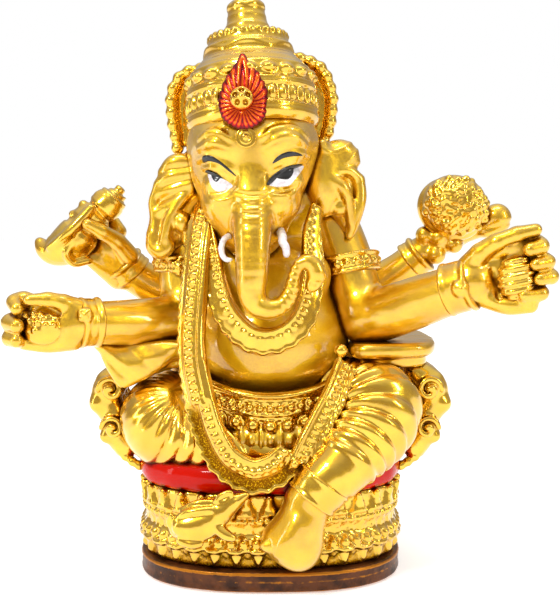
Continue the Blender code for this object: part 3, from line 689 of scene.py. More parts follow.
def petals(s, z, pitch, root, tip, rise):
    """Pointed petals side by side from root level to tip, each with a sunk, ribbed leaf in it."""
    t = np.abs(cells(s, pitch)) / (pitch / 2)
    share = (z - tip) / (root - tip)
    inside = np.minimum(share - t, 1.15 - share)
    sunk = np.clip((inside - 0.28) * 4, 0, 1)
    rib = np.clip(1 - t * 5, 0, 1)
    return rise * (np.clip(inside * 3.5, 0, 1) - 0.6 * sunk + 0.55 * rib * sunk)


def scrolls(s, u, pitch, reach):
    """Spiral curls in a row, turning one way and then the other."""
    way = np.where((s / pitch) % 2 < 1, 1, -1)
    v = cells(s, pitch)
    radius = np.hypot(v, u)
    spiral = 0.5 + 0.5 * np.cos(FULL_TURN * radius / 1.15 - way * np.arctan2(u, v))
    return spiral * fade(radius, reach, reach * 0.75)


def walk_round(half, power):
    """A function from an angle about an oval's centre to the distance walked round it, and the whole way."""
    turn = np.linspace(-math.pi, math.pi, 1441)
    c, s = np.cos(turn), np.sin(turn)
    size = (np.abs(c / half[0]) ** power + np.abs(s / half[1]) ** power) ** (-1 / power)
    run = np.concatenate([[0], np.cumsum(np.hypot(np.diff(size * c), np.diff(size * s)))])
    return (lambda angle: np.interp(angle, turn, run)), run[-1]


def emboss(clay, height, *box):
    """Raises the surface by height(x, y, z) millimetres, everywhere or between a box's two corners."""
    cut, (x, y, z) = clay.region(*box)
    clay.field[cut] -= height(x, y, z)


def pose_at(centre, direction):
    """The placing of a piece sculpted facing +Z with +Y upward, so that it faces direction at centre."""
    out = Vector(direction).normalized()
    side = Vector((0, 0, 1)).cross(out).normalized()
    upward = out.cross(side)
    turn = Matrix((side, upward, out)).transposed().to_4x4()
    return Matrix.Translation(Vector(centre)) @ turn


def mark(piece, attribute, level):
    """Stores level(x, y, z), worked out from the points in sculpting millimetres, for a material to read."""
    store(piece, attribute, level(*(mesh_points(piece.data).T / MM)))


# --- The seat ------------------------------------------------------------------

SEAT_POWER = 2.5
PLINTH_HALF = (34.8, 27.5)
DRUM_HALF = (32.6, 24.8)


def make_plinth():
    """Foot plate with a gold rim, a fine gold line round its waist and a gold foot."""
    clay = Clay((-37, -30, -1), (37, 30, 7), MEDIUM)
    profile = [(-0.7, 0.1), (-0.1, 0.6), (-0.15, 1.1), (-0.5, 1.5), (-0.5, 2.4), (-0.15, 2.7), (-0.5, 3.1),
               (-0.6, 3.9), (-0.1, 4.3), (-0.1, 4.9), (-0.6, 5.4)]
    turned(clay, PLINTH_HALF, profile, SEAT_POWER)
    piece = skin(clay, "plinth", BROWN, uneven=0.05, coarse=0.1)

    def gilding(x, y, z):
        rim, line, foot = hump(z, 4.75, 0.75), 0.75 * hump(z, 2.7, 0.5), 0.9 * fade(z, 0.9, 0.4)
        return np.maximum(rim, np.maximum(line, foot))

    mark(piece, "edge", gilding)


def make_pedestal():
    """Lotus drum: hanging petals, a bead row, scrolls, a finer bead row and upright petals with beads."""
    clay = Clay((-37, -29.5, 5), (37, 29.5, 27), MEDIUM)
    profile = [(0.4, 5.7), (0.4, 10.4), (1.3, 10.8), (1.5, 11.2), (0.8, 11.7), (0.7, 12.8), (1.4, 13.3),
               (1.2, 13.8), (0.4, 14.1), (0.3, 16.1), (1.0, 16.4), (1.0, 16.8), (0.4, 17.1), (0.4, 18.4),
               (0.9, 18.6), (0.7, 19.0), (0.2, 19.3), (0.5, 21.6), (0.6, 24.2), (0.0, 24.5)]
    walk, around = walk_round(DRUM_HALF, SEAT_POWER)
    petal = around / 36
    upright_count = 34

    def relief(angle, offset, z):
        s = walk(angle)
        hanging = petals(s, z, petal, 11.0, 5.2, 1.7)
        behind = petals(s + petal / 2, z, petal, 11.0, 7.6, 0.9)
        upright = petals(s, z, around / upright_count, 18.9, 25.4, 1.8)
        curls = 0.7 * scrolls(s, z - 15.1, around / 52, 1.5)
        low = np.maximum(hanging, behind) * (z < 11.2)
        return -(low + upright * (z > 18.9) + curls * (z > 14) * (z < 16.3))

    turned(clay, DRUM_HALF, profile, SEAT_POWER, relief)
    bead_rows = ((60, 12.25, 1.15, 1.3, 0), (92, 17.75, 0.9, 1.0, 0), (upright_count, 23.6, 1.5, 1.0, 0.5))
    for count, level, offset, radius, start in bead_rows:
        for (x, y), _ in oval_rim(DRUM_HALF, SEAT_POWER, count, offset, start):
            ball(clay, (x, y, level), radius, 0.15)
    piece = skin(clay, "lotus_pedestal", BRIGHT, uneven=0.1, coarse=0.05)

    # Painted shade: darker between the hanging petals and round the drum's foot.
    def gap_shade(x, y, z):
        s = walk(np.arctan2(y, x))
        front = petals(s, z, petal, 11.0, 5.2, 1.0)
        return 0.65 * (1 - np.clip(front * 3, 0, 1)) * fade(z, 10.8, 9.4) + 0.35 * fade(z, 6.2, 5.6)

    mark(piece, "darkening", gap_shade)


def make_cushion():
    """Hard cast cushion, painted red, with soft dents along its edge."""
    clay = Clay((-38, -30, 20), (38, 30, 35), MEDIUM)
    profile = [(-1.4, 21.3), (-0.9, 24.0), (0.6, 24.5), (1.7, 25.4), (2.3, 27.0), (2.4, 29.0), (1.7, 30.8),
               (-0.4, 32.0), (-6.0, 32.8)]
    walk, around = walk_round(DRUM_HALF, SEAT_POWER)

    def relief(angle, offset, z):
        s = walk(angle)
        dents = np.sin(FULL_TURN * s * 9 / around + 0.7) + 0.6 * np.sin(FULL_TURN * s * 23 / around)
        return 0.16 * dents * hump(z, 27.5, 4.5)

    turned(clay, DRUM_HALF, profile, SEAT_POWER, relief)
    skin(clay, "seat_cushion", RED, coarse=0.08)


def make_throne_back():
    """Low panel behind the hips: a raised border, a bead row and a fan of leaves on its back."""
    clay = Clay((-37, 18, 28), (37, 26, 67), MEDIUM)
    arch = [(-34, 29.3), (34, 29.3), (35.3, 40), (35.3, 51), (30, 56.6), (20, 58.8), (11, 62.6), (0, 64.8)]
    arch += [(-x, z) for x, z in arch[2:-1]][::-1]
    cut, (x, y, z) = clay.region()
    flat = outline_distance(arch, x, z)
    fan_foot = 33
    radius = np.hypot(x, z - fan_foot)
    angle = np.arctan2(z - fan_foot, x)
    leaves = pleat(angle * 15 / math.pi) * fade(radius, 5, 9) * fade(radius, 25, 21) * (z > fan_foot)
    leaves = leaves * (0.7 + 0.3 * np.cos(radius * 0.9))
    border = hump(-flat, 1.6, 1.3) + hump(-flat, 4.9, 0.7)
    run = np.where(np.abs(x) > 33, z, x)
    rise = 0.7 * border + 0.8 * leaves + 0.7 * dots(run, -flat - 3.3, 2.4, 0.9)
    rise = rise + 0.8 * hump(radius, 3.2, 2.6)
    middle = 21.9
    depth = np.abs(y - middle) - 1.3 - np.clip(rise, 0, 1.1) * (y > middle)
    edge = np.maximum(flat + 0.6, depth)
    clay.put(cut, capped(edge))
    skin(clay, "throne_back", SATIN, coarse=0.05)


def volute(clay, centre, radius, side):
    """A scroll that curls in on itself, facing the front."""
    stations = []
    for k in range(13):
        angle = 0.7 * k
        size = radius * (1 - k / 14)
        x = centre[0] + side * size * math.cos(angle)
        z = centre[2] + size * math.sin(angle)
        stations.append((x, centre[1] - 0.1 * k, z, radius * 0.26))
    limb(clay, stations, 0.24)


def make_throne_side(side, name):
    """Carving under an armrest: swelling scrolls that step in to the cushion, with knobs and beads."""
    low, high = sorted((side * 30, side * 48.5))
    clay = Clay((low, -14, 24), (high, 21, 56), MEDIUM)
    spine = [(38.6, 52.4, 3.4), (42.2, 49, 4.2), (43.4, 44.6, 3.9), (41, 40.6, 3.9), (41.2, 36.8, 3.5),
             (38.4, 32.4, 3.3)]
    for y, size in ((-5, 1.0), (1, 0.94), (7, 0.88), (13, 0.8)):
        limb(clay, [(side * x, y, z, r * size) for x, z, r in spine], 1.6)
    for x, z, radius in ((45.2, 44.2, 2.6), (43.6, 50.6, 2), (43.2, 35.4, 1.9)):
        ball(clay, (side * x, -6.4, z), radius, 0.9)
    for x, z, size in ((41.6, 48.2, 3.4), (41.2, 38, 3.1)):
        volute(clay, (side * x, -9.0, z), size, side)
    for x, z in ((39.6, 32.0), (38.2, 30.0), (36.4, 28.6), (34.6, 27.6), (40.6, 34.2)):
        ball(clay, (side * x, -7.0, z), 1.35, 0.4)
    emboss(clay, lambda x, y, z: 0.5 * (pleat((y + 5) * 0.2 + 0.1 * np.sin(z * 0.5)) - 0.5) * (y > -3))
    skin(clay, name, BRIGHT, uneven=0.12)


def make_armrest(side, name):
    """Slab under the elbow with a rolled lip; the left one folds down at the front like a heavy flap."""
    low, high = sorted((side * 19, side * 46))
    clay = Clay((low, -21, 47), (high, 21, 63), MEDIUM)
    cut, (x, y, z) = clay.region()
    plan = [(21, -13), (30, -15.5), (40, -12.5), (43.6, -5), (43.4, 10), (40, 18), (26, 18), (22, 8)]
    flat = outline_distance(rounded_outline(plan), side * x, y)
    top = rounded(flat, np.abs(z - 59.0 - 0.02 * (side * x - 33)) - 2.0, 1.7)
    under = rounded(flat + 2.2, np.abs(z - 56.2) - 1.9, 1.2)
    clay.put(cut, capped(top))
    clay.put(cut, capped(under), 0.5)
    if side < 0:
        drop = [(-43.9, 61.4), (-43.4, 58.0), (-42.6, 56.0), (-41.4, 53.8), (-39.6, 51.0), (-38.0, 49.7),
                (-35.8, 49.9), (-31.4, 51.9), (-27.4, 54.4), (-24.0, 57.8), (-22.6, 61.6)]
        face = outline_distance(rounded_outline(drop), x, z)
        swell = 2.3 * np.sqrt(np.clip(-face / 5.0, 0, 1)) + 0.5 * pleat((x + 1.2 * z) / 9.0)
        flap = rounded(face, np.abs(y + 14.0 - 0.12 * (z - 55)) - 0.9 - swell, 0.9)
        clay.put(cut, capped(flap), 1.2)
    skin(clay, name, SATIN, uneven=0.12)


def make_seat():
    """Everything under and behind the figure."""
    make_plinth()
    make_pedestal()
    make_cushion()
    make_throne_back()
    for side, word in ((-1, "left"), (1, "right")):
        make_throne_side(side, "throne_side_" + word)
        make_armrest(side, "armrest_" + word)


# --- The body and legs -----------------------------------------------------------


def make_torso():
    """Round belly, soft chest and shoulders, the back with its spine furrow and shawl folds."""
    clay = Clay((-26, -23, 28), (26, 20, 109), COARSE)
    ball(clay, (-0.5, -1, 60.4), (21.4, 20.2, 18.2))
    ball(clay, (-1.5, 1, 78), (17.5, 14, 14.5), 7)
    limb(clay, [(-12.5, 2, 88, 6.8), (-2, 2, 90.5, 8.5), (9.5, 2, 88.5, 6.8)], 4)
    ball(clay, (0, 2.5, 40), (24.5, 16, 12), 5)
    limb(clay, [(-2.5, 1, 90, 9.2), (-3.5, -3, 98, 9.4)], 3)
    limb(clay, [(-17, 3, 93.5, 6), (-4, 2, 97, 8.5), (12.5, 3, 93.5, 6.2)], 3)
    ball(clay, (8.4, -3, 96.5), (6.6, 5.5, 6.5), 3)
    for side in (-1, 1):
        ball(clay, (-1 + side * 8.5, -9.5, 78), (8, 5.5, 6.5), 4)

    def back(x, y, z):
        spine = -1.3 * hump(x, 0, 3.2) * fade(z, 45, 55)
        blades = 1.4 * (hump(x, -8.5, 5) + hump(x, 8.5, 5)) * hump(z, 79, 9)
        folds = 0.55 * pleat(x * 0.14 + z * 0.19) * fade(z, 58, 50)
        return (spine + blades + folds) * fade(y, 4, 9)

    emboss(clay, back, (-26, 4, 40), (26, 20, 95))
    piece = skin(clay, "torso", SATIN)
    store(piece, "matt", np.ones(len(piece.data.vertices)))


def make_folded_leg():
    """Crossed leg: the knee is a ball whose pleats run out from a pole at its upper right."""
    clay = Clay((-41, -28, 27), (13, 15, 56), MEDIUM)
    limb(clay, [(-12, 3, 42, 11), (-19.6, -3, 42, 11.6), (-27.6, -9.2, 40.6, 11.6)])
    limb(clay, [(-27, -12, 37.6, 8.6), (-14, -18.6, 35.5, 6.2), (-2, -20, 33.8, 5), (6.4, -21.2, 33, 4)], 3)
    knee = np.array([-26.6, -8.8, 41.0])
    pole = unit((5.2, -7, 8))
    first = unit(np.cross(pole, (0, 0, 1)))
    second = np.cross(pole, first)

    def pleats(x, y, z):
        dx, dy, dz = x - knee[0], y - knee[1], z - knee[2]
        a = dx * first[0] + dy * first[1] + dz * first[2]
        b = dx * second[0] + dy * second[1] + dz * second[2]
        up = dx * pole[0] + dy * pole[1] + dz * pole[2]
        turn = np.arctan2(b, a)
        away = np.hypot(a, b)
        deep = fade(away, 3.5, 8.0) * fade(up, -10, -1) * (0.12 + 0.88 * fade(x, -34, -25))
        wander = 0.5 * np.sin(turn * 2.5 + away * 0.12)
        return deep * (pleat(turn * 14 / math.pi + wander) - 0.5)

    emboss(clay, pleats)
    skin(clay, "folded_leg", BRIGHT)


def make_hanging_leg():
    """Leg on the right: ring pleats over thigh and knee, a smooth cuff, and a smooth bare foot."""
    clay = Clay((-6, -38, 5), (40, 12, 58), MEDIUM)
    thigh = [(10, 1, 43, 10.4), (20, -7, 44.8, 11.2), (27, -14.6, 44.2, 11)]
    shin = [thigh[-1], (26, -18.5, 40.6, 10.2), (21, -23.4, 35.6, 8.8), (17, -26.6, 31.6, 7.6)]
    limb(clay, thigh)
    limb(clay, shin, 2)
    bones = [(8, 2, 42), (20, -7, 44), (26, -14, 43), (25, -19, 39.5), (20.4, -23.4, 34.8), (14, -28, 27)]
    path = curve(bones, 1.0)
    run = run_along(path)

    def pleats(x, y, z):
        total, weight = 0, 0
        for point, at in zip(path[::2], run[::2]):
            near = (x - point[0]) ** 2 + (y - point[1]) ** 2 + (z - point[2]) ** 2
            share = 1 / (near + 1.0) ** 3
            total, weight = total + share * at, weight + share
        along = total / weight
        to_cuff = run[-1] - along
        side = (x - 20) * 0.05 + (z - 40) * 0.03
        deep = fade(to_cuff, 8.5, 12.5) * fade(y, 6, 0)
        edge = 0.5 * hump(to_cuff, 8.6, 0.9) + 0.45 * hump(to_cuff, 3.4, 0.7)
        return 1.35 * deep * (pleat(along / 2.5 + side) - 0.5) + edge

    emboss(clay, pleats, (2, -38, 24), (40, 12, 58))
    limb(clay, [(15.4, -27.6, 30.4, 7.1), (12.6, -28.4, 27.6, 6.6), (9.2, -28.8, 23.6, 5.7)], 0.3)
    limb(clay, [(9.2, -28.8, 23.2, 5.4), (7.6, -29.4, 18.6, 6.2), (6.2, -29.6, 14.8, 6.6)], 0.5)
    ball(clay, (5.2, -29.6, 14.4), (7.2, 5.8, 5.8), 2)
    ball(clay, (7.4, -30, 12.2), (5.2, 5.4, 5.2), 2)
    ball(clay, (-0.6, -32.4, 14), (1.8, 1.9, 1.6), 1.0)
    limb(clay, [(6.4, -34.2, 19.6, 1), (4.4, -35, 16.2, 1), (2.2, -34.6, 12.8, 0.8)], 2.2)
    piece = skin(clay, "hanging_leg", BRIGHT)
    mark(piece, "matt", lambda x, y, z: fade(z + 0.8 * x, 34.0, 32.0) * (y < -18) * (x < 16))


def make_anklet():
    """Broad polished ring round the ankle with rolled edges."""
    clay = Clay((2, -38, 16), (24, -18, 36), FINE)
    limb(clay, [(13.6, -28.2, 28.9, 7.2), (12.4, -28.5, 27.3, 7.15), (10.4, -28.7, 24.9, 6.5)])
    hole, axis = np.array((10, -28.7, 24.5)), np.array((0.62, 0.1, 0.78))
    cut, (x, y, z) = clay.region()
    along = (x - hole[0]) * axis[0] + (y - hole[1]) * axis[1] + (z - hole[2]) * axis[2]
    edges = 0.45 * hump(along, 0, 0.9) + 0.4 * hump(along, 5.6, 0.8)
    clay.field[cut] = rounded(clay.field[cut] - edges, np.abs(along - 2.8) - 3.2, 0.5)
    skin(clay, "anklet", BRIGHT)


def ring(clay, centre, axis, radius, half_width, relief):
    """A bangle round an axis, by its outer radius and half its width; relief(round, along) is its
    pattern."""
    axis = unit(axis)
    first = unit(np.cross(axis, (0, 0, 1) if abs(axis[2]) < 0.9 else (0, 1, 0)))
    second = np.cross(axis, first)
    depth = 0.9
    reach = radius + half_width + 3
    cut, (x, y, z) = clay.region(np.array(centre) - reach, np.array(centre) + reach)
    dx, dy, dz = x - centre[0], y - centre[1], z - centre[2]
    a = (dx * first[0] + dy * first[1] + dz * first[2]) / radius
    b = (dx * second[0] + dy * second[1] + dz * second[2]) / radius
    v = dx * axis[0] + dy * axis[1] + dz * axis[2]
    out = (np.hypot(a, b) - 1) * radius
    over = np.where(out > -depth, out - relief(np.arctan2(b, a) * radius, v), out)
    radial = np.maximum(over, -out - depth * 2)
    clay.put(cut, capped(rounded(radial, np.abs(v) - half_width, 0.5)))


# --- Cloth and jewellery ----------------------------------------------------------


def make_belt():
    """Belt round the hips: two cords with a bead row between, and a row of flowers under them."""
    clay = Clay((-25, -26, 36), (25, 20.5, 55), FINE)
    cut, (x, y, z) = clay.region()
    cx, cy, half = 0.2, -0.8, (21.6, 20.8)  # the hips' oval

    def sag(x, y):
        return 46.9 - 3.2 * fade(y, -2, -12) * (1 - ((x - cx) / 17.0) ** 2)

    rho = np.hypot((x - cx) / half[0], (y - cy) / half[1])
    level = z - sag(x, y)
    offset = (rho - 1) * 21.0
    rise = 0.9 * hump(level, 5.0, 0.9) + 0.5 * hump(level, 3.5, 0.45)
    rise = rise + 0.9 * hump(level, 0.4, 0.7) + 0.5 * hump(level, -0.7, 0.5)
    distance = rounded(np.abs(offset) - 1.5 - rise * (offset > 0), np.abs(level - 0.5) - 5.4, 0.6)
    clay.put(cut, capped(distance))
    for (px, py), (nx, ny) in oval_rim(half, 2.0, 56, 1.5):
        ball(clay, (px + cx + 0.4 * nx, py + cy + 0.4 * ny, sag(px + cx, py + cy) + 2.0), 1.0, 0.15)
    for (px, py), (nx, ny) in oval_rim(half, 2.0, 32, 1.6):
        level = sag(px + cx, py + cy)
        ball(clay, (px + cx + 0.3 * nx, py + cy + 0.3 * ny, level - 2.5), 1.7, 0.3)
        ball(clay, (px + cx + 0.2 * nx - 0.9 * ny, py + cy + 0.2 * ny + 0.9 * nx, level - 3.9), 1.05, 0.2)
    skin(clay, "waist_belt", BRIGHT, uneven=0.1)


def make_waist_cloth():
    """Apron under the belt: sunk panels between soft ribs, each with a leaf."""
    clay = Clay((-14, -29, 29), (15, -15, 48), FINE)
    ball(clay, (0.6, -20.2, 36.8), (13.2, 4.5, 6), 0, (8, 0, 0))

    def ribs(x, y, z):
        panel = np.abs(cells(x - 0.4 + 2.5, 5.0))
        leaf = np.hypot(panel, (z - 38.0) / 2.0)
        rise = 0.6 * hump(panel, 2.5, 0.5) + 0.8 * hump(leaf, 0, 1.0) - 0.4 * hump(leaf, 0, 0.4)
        return rise * (y < -17)

    emboss(clay, ribs)
    piece = skin(clay, "waist_cloth", BRIGHT)
    for attribute, level in (("darkening", 0.3), ("matt", 0.8)):
        store(piece, attribute, np.full(len(piece.data.vertices), level))


def sash_pattern(s, u):
    """Across the long fall, from its outer edge (u > 0): scallops, ridge, channel, ridge and roll."""
    scallop = 0.4 * hump(u, 3.6, 1.0) - 1.7 * (1 - pleat(s / 2.7)) * fade(u, 3.0, 4.2)
    ridges = 0.7 * (hump(u, 1.0, 0.5) + hump(u, -1.6, 0.5)) + 0.9 * hump(u, -3.2, 1.1)
    crowned = 1.1 * (1 - (u / 4.2) ** 2)
    return crowned + scallop + ridges - 0.35 * hump(u, -0.3, 0.9)


def low_sash_pattern(s, u):
    """Where the fall crosses the shins its outer band is a sunk, rough field inside a jagged rim."""
    tooth = 1 - pleat(s / 2.9)
    rim = 0.6 * hump(u, 4.1 - 0.6 * tooth, 0.6) - 1.8 * tooth * fade(u, 3.6, 4.6)
    rough = 0.16 * np.sin(s * 5.1 + u * 2) * np.sin(u * 5.7 - s) * hump(u, 2.2, 2.2)
    ridges = 0.8 * (hump(u, -0.4, 0.65) + hump(u, -3.0, 0.5)) + 1.0 * hump(u, -4.2, 0.9)
    return rim + rough + ridges - 0.3 * hump(u, 2.0, 1.6) - 0.35 * hump(u, -1.7, 0.9)


def low_sash_darkening(s, u):
    """How much darker the fall's sunk field is drawn, inside its jagged rim."""
    scallop = 0.7 * (1 - pleat(s / 2.9))
    return 1.05 * fade(u, 0.1, 0.7) * fade(u, 3.8 - scallop, 3.2 - scallop) * fade(s, 7.0, 14.0)


def make_sash():
    """Long garland: from the left shoulder past the belly, across the shins and up to the right hip."""
    clay = Clay((-28, -33, 25), (25, -2, 100), FINE)
    fall = [(-15, -6, 97.2), (-17.2, -13, 91), (-18.4, -17.6, 79), (-19.3, -20.8, 66), (-18.9, -23.2, 57),
            (-17, -25.8, 48)]
    turn = fall[-2:] + [(-14.7, -27.6, 40.6), (-10.8, -29, 33.8), (-4.5, -29.9, 30.3), (1.4, -29.6, 31.6),
                        (5, -28.8, 35)]
    faces = [(-0.3, -0.9, 0.2), (-0.4, -0.9, 0.15), (-0.45, -0.9, 0.05), (-0.45, -0.9, 0), (-0.5, -0.9, 0),
             (-0.45, -0.9, 0)]
    line = strap(clay, fall, faces, (3.6, 3.8, 3.9, 4.0, 4.2, 4.4), 1.5, 0, sash_pattern)
    strap_beads(clay, line, -0.3, 2.15, 0.88, 1.75)
    low_faces = faces[-2:] + [(-0.4, -0.9, 0), (-0.25, -1, -0.15), (-0.05, -1, -0.15), (0.1, -1, -0.1),
                              (0.15, -1, 0)]
    line = strap(clay, turn, low_faces, (4.2, 4.5, 4.6, 4.8, 4.9, 4.7, 4.0), 1.5, 0.3, low_sash_pattern,
                 darkening=low_sash_darkening)
    strap_beads(clay, line, -1.7, 2.15, 1.0, 1.25, start=4)
    rise = [(7, -29, 31.4), (9.4, -28.4, 37), (12.8, -26, 43), (16.2, -22.8, 49), (19.2, -17.6, 55.6)]
    rise_faces = [(0.1, -1, -0.1), (0.15, -1, 0), (0.2, -1, 0.1), (0.3, -0.95, 0.15), (0.45, -0.9, 0.2)]

    def twist(s, u):
        rope = 1.0 * pleat((s + 1.4 * u) / 2.3) * hump(u, 2.5, 1.1)
        return rope + 0.8 * hump(u, -2.6, 0.8) + 0.6 * (hump(u, 0.9, 0.45) + hump(u, -1.4, 0.45))

    line = strap(clay, rise, rise_faces, 3.4, 1.5, 0.3, twist)
    strap_beads(clay, line, -0.25, 2.1, 0.8, 0.7)
    for x, y, z, radius in ((17.9, -19, 59.8, 1.7), (21.6, -16.6, 57.6, 1.3), (6.2, -30.6, 33.6, 1.2)):
        ball(clay, (x, y, z), radius, 0.3)
    skin(clay, "sash", BRIGHT)


def make_necklace():
    """Broad collar in a U under the trunk: a cord inside, a row of studs and a scalloped outer edge."""
    clay = Clay((-23, -26, 56), (20, -3, 104), FINE)
    inner = [(-13.8, -15, 92), (-12.3, -18, 84.5), (-10.5, -20.4, 77), (-8.6, -21.6, 71.8),
             (-4.4, -22.4, 67.3), (0.5, -22.6, 66.1), (5, -22, 68.2), (7.6, -20.8, 73), (8.6, -18.6, 81.5),
             (8.2, -15.5, 89), (10, -12.2, 95.6)]
    outer = [(-19, -12.4, 89.5), (-17, -16, 81.8), (-15.2, -18.8, 73.8), (-12.4, -20.8, 65.9),
             (-6.6, -22.6, 60), (-0.1, -22.8, 58.9), (6.4, -22, 61.6), (10.8, -20, 67.4), (12.6, -17, 77),
             (12.9, -13.8, 88.4), (12.8, -11.2, 95.2)]
    inner, outer = np.array(inner), np.array(outer)
    width = np.linalg.norm(outer - inner, axis=1) / 2
    faces = [(-0.4, -0.9, 0.3), (-0.4, -0.9, 0.2), (-0.35, -1, 0.1), (-0.25, -1, 0.05), (-0.1, -1, -0.05),
             (0, -1, -0.05), (0.1, -1, 0), (0.25, -1, 0.1), (0.35, -0.9, 0.2), (0.4, -0.9, 0.3),
             (0.4, -0.9, 0.3)]

    def studs(s, u):
        rim = 0.55 * hump(u, 2.4 + 0.5 * pleat(s / 3.1), 0.65)
        notch = 1.6 * (1 - pleat(s / 3.1)) * fade(u, 2.5, 3.6)
        crowned = 0.9 * (1 - (u / 4.0) ** 2)
        return crowned + rim - notch + 0.8 * hump(u, -2.7, 0.9)

    line = strap(clay, (inner + outer) / 2, faces, width, 1.5, 0, studs)
    strap_beads(clay, line, -0.9, 2.3, 0.78, 1.35)
    skin(clay, "necklace", BRIGHT)


# --- The head --------------------------------------------------------------------


def head_clay():
    """Twin-domed brow, hooded eyes, cheeks that taper into the ringed trunk, and its curl to the right."""
    clay = Clay((-24, -34, 65), (18, 8, 125), MEDIUM)
    ball(clay, (-4.4, -9.5, 112), (17, 16.2, 13.5))
    ball(clay, (-5, -11.2, 104), (14.7, 13.6, 10.8), 4)
    ball(clay, (-4.9, -13.4, 96.4), (11.2, 11.2, 10), 5)
    ball(clay, (-4.5, -14.6, 90), (7.6, 8.4, 7.6), 4)
    for x in (-11.4, 2.4):
        ball(clay, (x, -17.6, 111.6), (7, 8.4, 5), 3)
    for x, z in ((-11.4, 96.2), (2.4, 97.0)):
        ball(clay, (x, -18.2, z), (5, 6, 4.6), 3)
    trunk = [(-4.4, -19.4, 105.5, 4.4), (-4.3, -21.8, 99.5, 4.8), (-4.2, -23.6, 94.5, 4.8),
             (-4.1, -25.2, 89.5, 4.65), (-4.1, -26.4, 84.5, 4.35), (-4.2, -27, 79.5, 4),
             (-4.3, -27.2, 75.2, 3.5), (-2.9, -27.3, 72, 3.1), (0.5, -27.4, 70.9, 2.7),
             (3.5, -27.4, 72.4, 2.5), (5.3, -27.4, 75.6, 2.15), (6, -27.4, 79, 1.9), (7.5, -27.4, 82, 1.9),
             (10, -27.2, 82.3, 2.1), (11.5, -27, 79.4, 2.4), (10.4, -26.8, 76.6, 1.8)]

    def rings(along, x, y, z):
        creases = 0.12 * pleat(along / 2.3 + 0.2 * np.sin(along)) * fade(along, 4, 12)
        tight = 0.5 * pleat(along / 1.5) * fade(along, 37, 42) * fade(along, 55, 51)
        return 0.12 - creases + tight

    limb(clay, trunk, 2.0, rings)
    for level, deep in ((98.8, 0.75), (96.7, 0.5), (94.4, 0.55), (92.0, 0.3)):
        def crease(x, y, z):
            return -deep * hump(z - 0.05 * (x + 4) ** 2, level - 0.4, 0.6) * hump(x, -4.1, 4.8) * (y < -23)

        emboss(clay, crease, (-9.5, -34, 88), (1.4, -20, 102))
    ball(clay, (12, -29, 77.2), (1.5, 0.9, 0.6), 0.5, carve=True)
    for fold in (((-1.9, 112.2), (1.9, 114.2), (6.2, 114.4), (9.6, 112.4)),
                 ((-0.9, 110.2), (2.2, 112.2), (5.8, 112.6), (9.2, 110.6)),
                 ((-9.6, 112.0), (-13.4, 113.6), (-17.2, 112.2)),
                 ((-9.8, 109.8), (-13.4, 111.2), (-17.4, 109.8))):
        ridge(clay, fold, 1.2, 0.4)
    for fold in (((-16.4, 105.6), (-13.0, 105.8), (-10.0, 104.2), (-7.8, 102.0)),
                 ((-1.6, 102.0), (1.6, 105.4), (5.2, 107.2), (9.0, 107.4)),
                 ((-15.6, 99.8), (-12.6, 97.6), (-9.2, 98.0)), ((0.8, 98.6), (4.4, 98.6), (8.4, 100.8))):
        ridge(clay, fold, 0.9, 0.25)
    carve_eyes(clay)
    return clay


def carve_eyes(clay):
    """Eye hollows with an eyeball in each, lid folds and brow ridges above, and creases below."""
    for centre, turn in (((-12, -24.6, 101.7), 14), ((3.6, -24.6, 102.6), -14)):
        ball(clay, centre, (4.4, 1.9, 2.5), 1.6, (0, -turn * 1.3, 0), carve=True)
    ball(clay, (-12, -20.2, 101.2), (4.3, 3.9, 3.2), 0.6)
    ball(clay, (3.6, -20.2, 102.2), (5, 4, 3.4), 0.6)
    lids = [((-16.0, 104.9), (-14.0, 105.3), (-12.3, 104.5), (-10.4, 103.1), (-8.6, 101.4)),
            ((-1.2, 101.4), (0.6, 103.6), (3.2, 105.5), (5.8, 106.4), (8.9, 106.7))]
    for lid in lids:
        ridge(clay, lid, 0.85, 0.3)
    ridge(clay, ((-1.9, 102.4), (0.5, 105.2), (3.8, 106.9), (6.5, 107.6), (9.4, 107.4)), 0.6, 0.2)
    brows = [((-17.4, 107.2), (-14.6, 107.9), (-12.2, 107.0), (-9.6, 105.0), (-7.4, 102.4)),
             ((0.2, 105.4), (1.8, 107.6), (4.4, 108.8), (7.2, 108.9), (9.6, 108.0))]
    for brow in brows:
        ridge(clay, brow, 1.5, -0.3)
    for under in (((-14.6, 98.9), (-12.2, 98.0), (-9.6, 98.6)), ((0.6, 99.3), (3.4, 99.4), (6.6, 101.0))):
        ridge(clay, under, 0.45, 0.1, carve=True)


def ridge(clay, line, radius, lift, carve=False):
    """A rounded cord laid on the clay's front along (x, z) points, lifted out of it by the given
    distance."""
    before = -40.0
    spots = curve([(x, before, z) for x, z in line], 1.0)
    spots = clay.land(spots, (0, 1, 0))
    ends = np.minimum(np.arange(len(spots)), np.arange(len(spots))[::-1])
    sizes = radius * (0.45 + 0.55 * np.clip(ends / 3, 0, 1))
    stations = np.column_stack([spots[:, 0], spots[:, 1] + radius * 0.45 - lift, spots[:, 2], sizes])
    limb(clay, stations, 0.7, carve=carve)


def patch(clay, name, finish, lift, outline):
    """A coat of paint on the clay's front inside an outline of (x, z) points."""
    outline = rounded_outline(outline)
    corners = np.array(outline)
    (x0, z0), (x1, z1) = corners.min(0) - 1, corners.max(0) + 1
    coat = Clay((x0, -31, z0), (x1, -17, z1), grid_step(0.2))
    cut, (x, y, z) = coat.region()
    grid = np.stack(np.broadcast_arrays(x, y, z), axis=-1).reshape(-1, 3)
    below = clay.sample(grid).reshape(coat.field.shape)
    slab = np.maximum(below - lift, -below - 0.35)
    coat.put(cut, rounded(slab, outline_distance(outline, x, z), 0.12).astype(np.float32))
    skin(coat, name, finish, uneven=0, replaces=False)


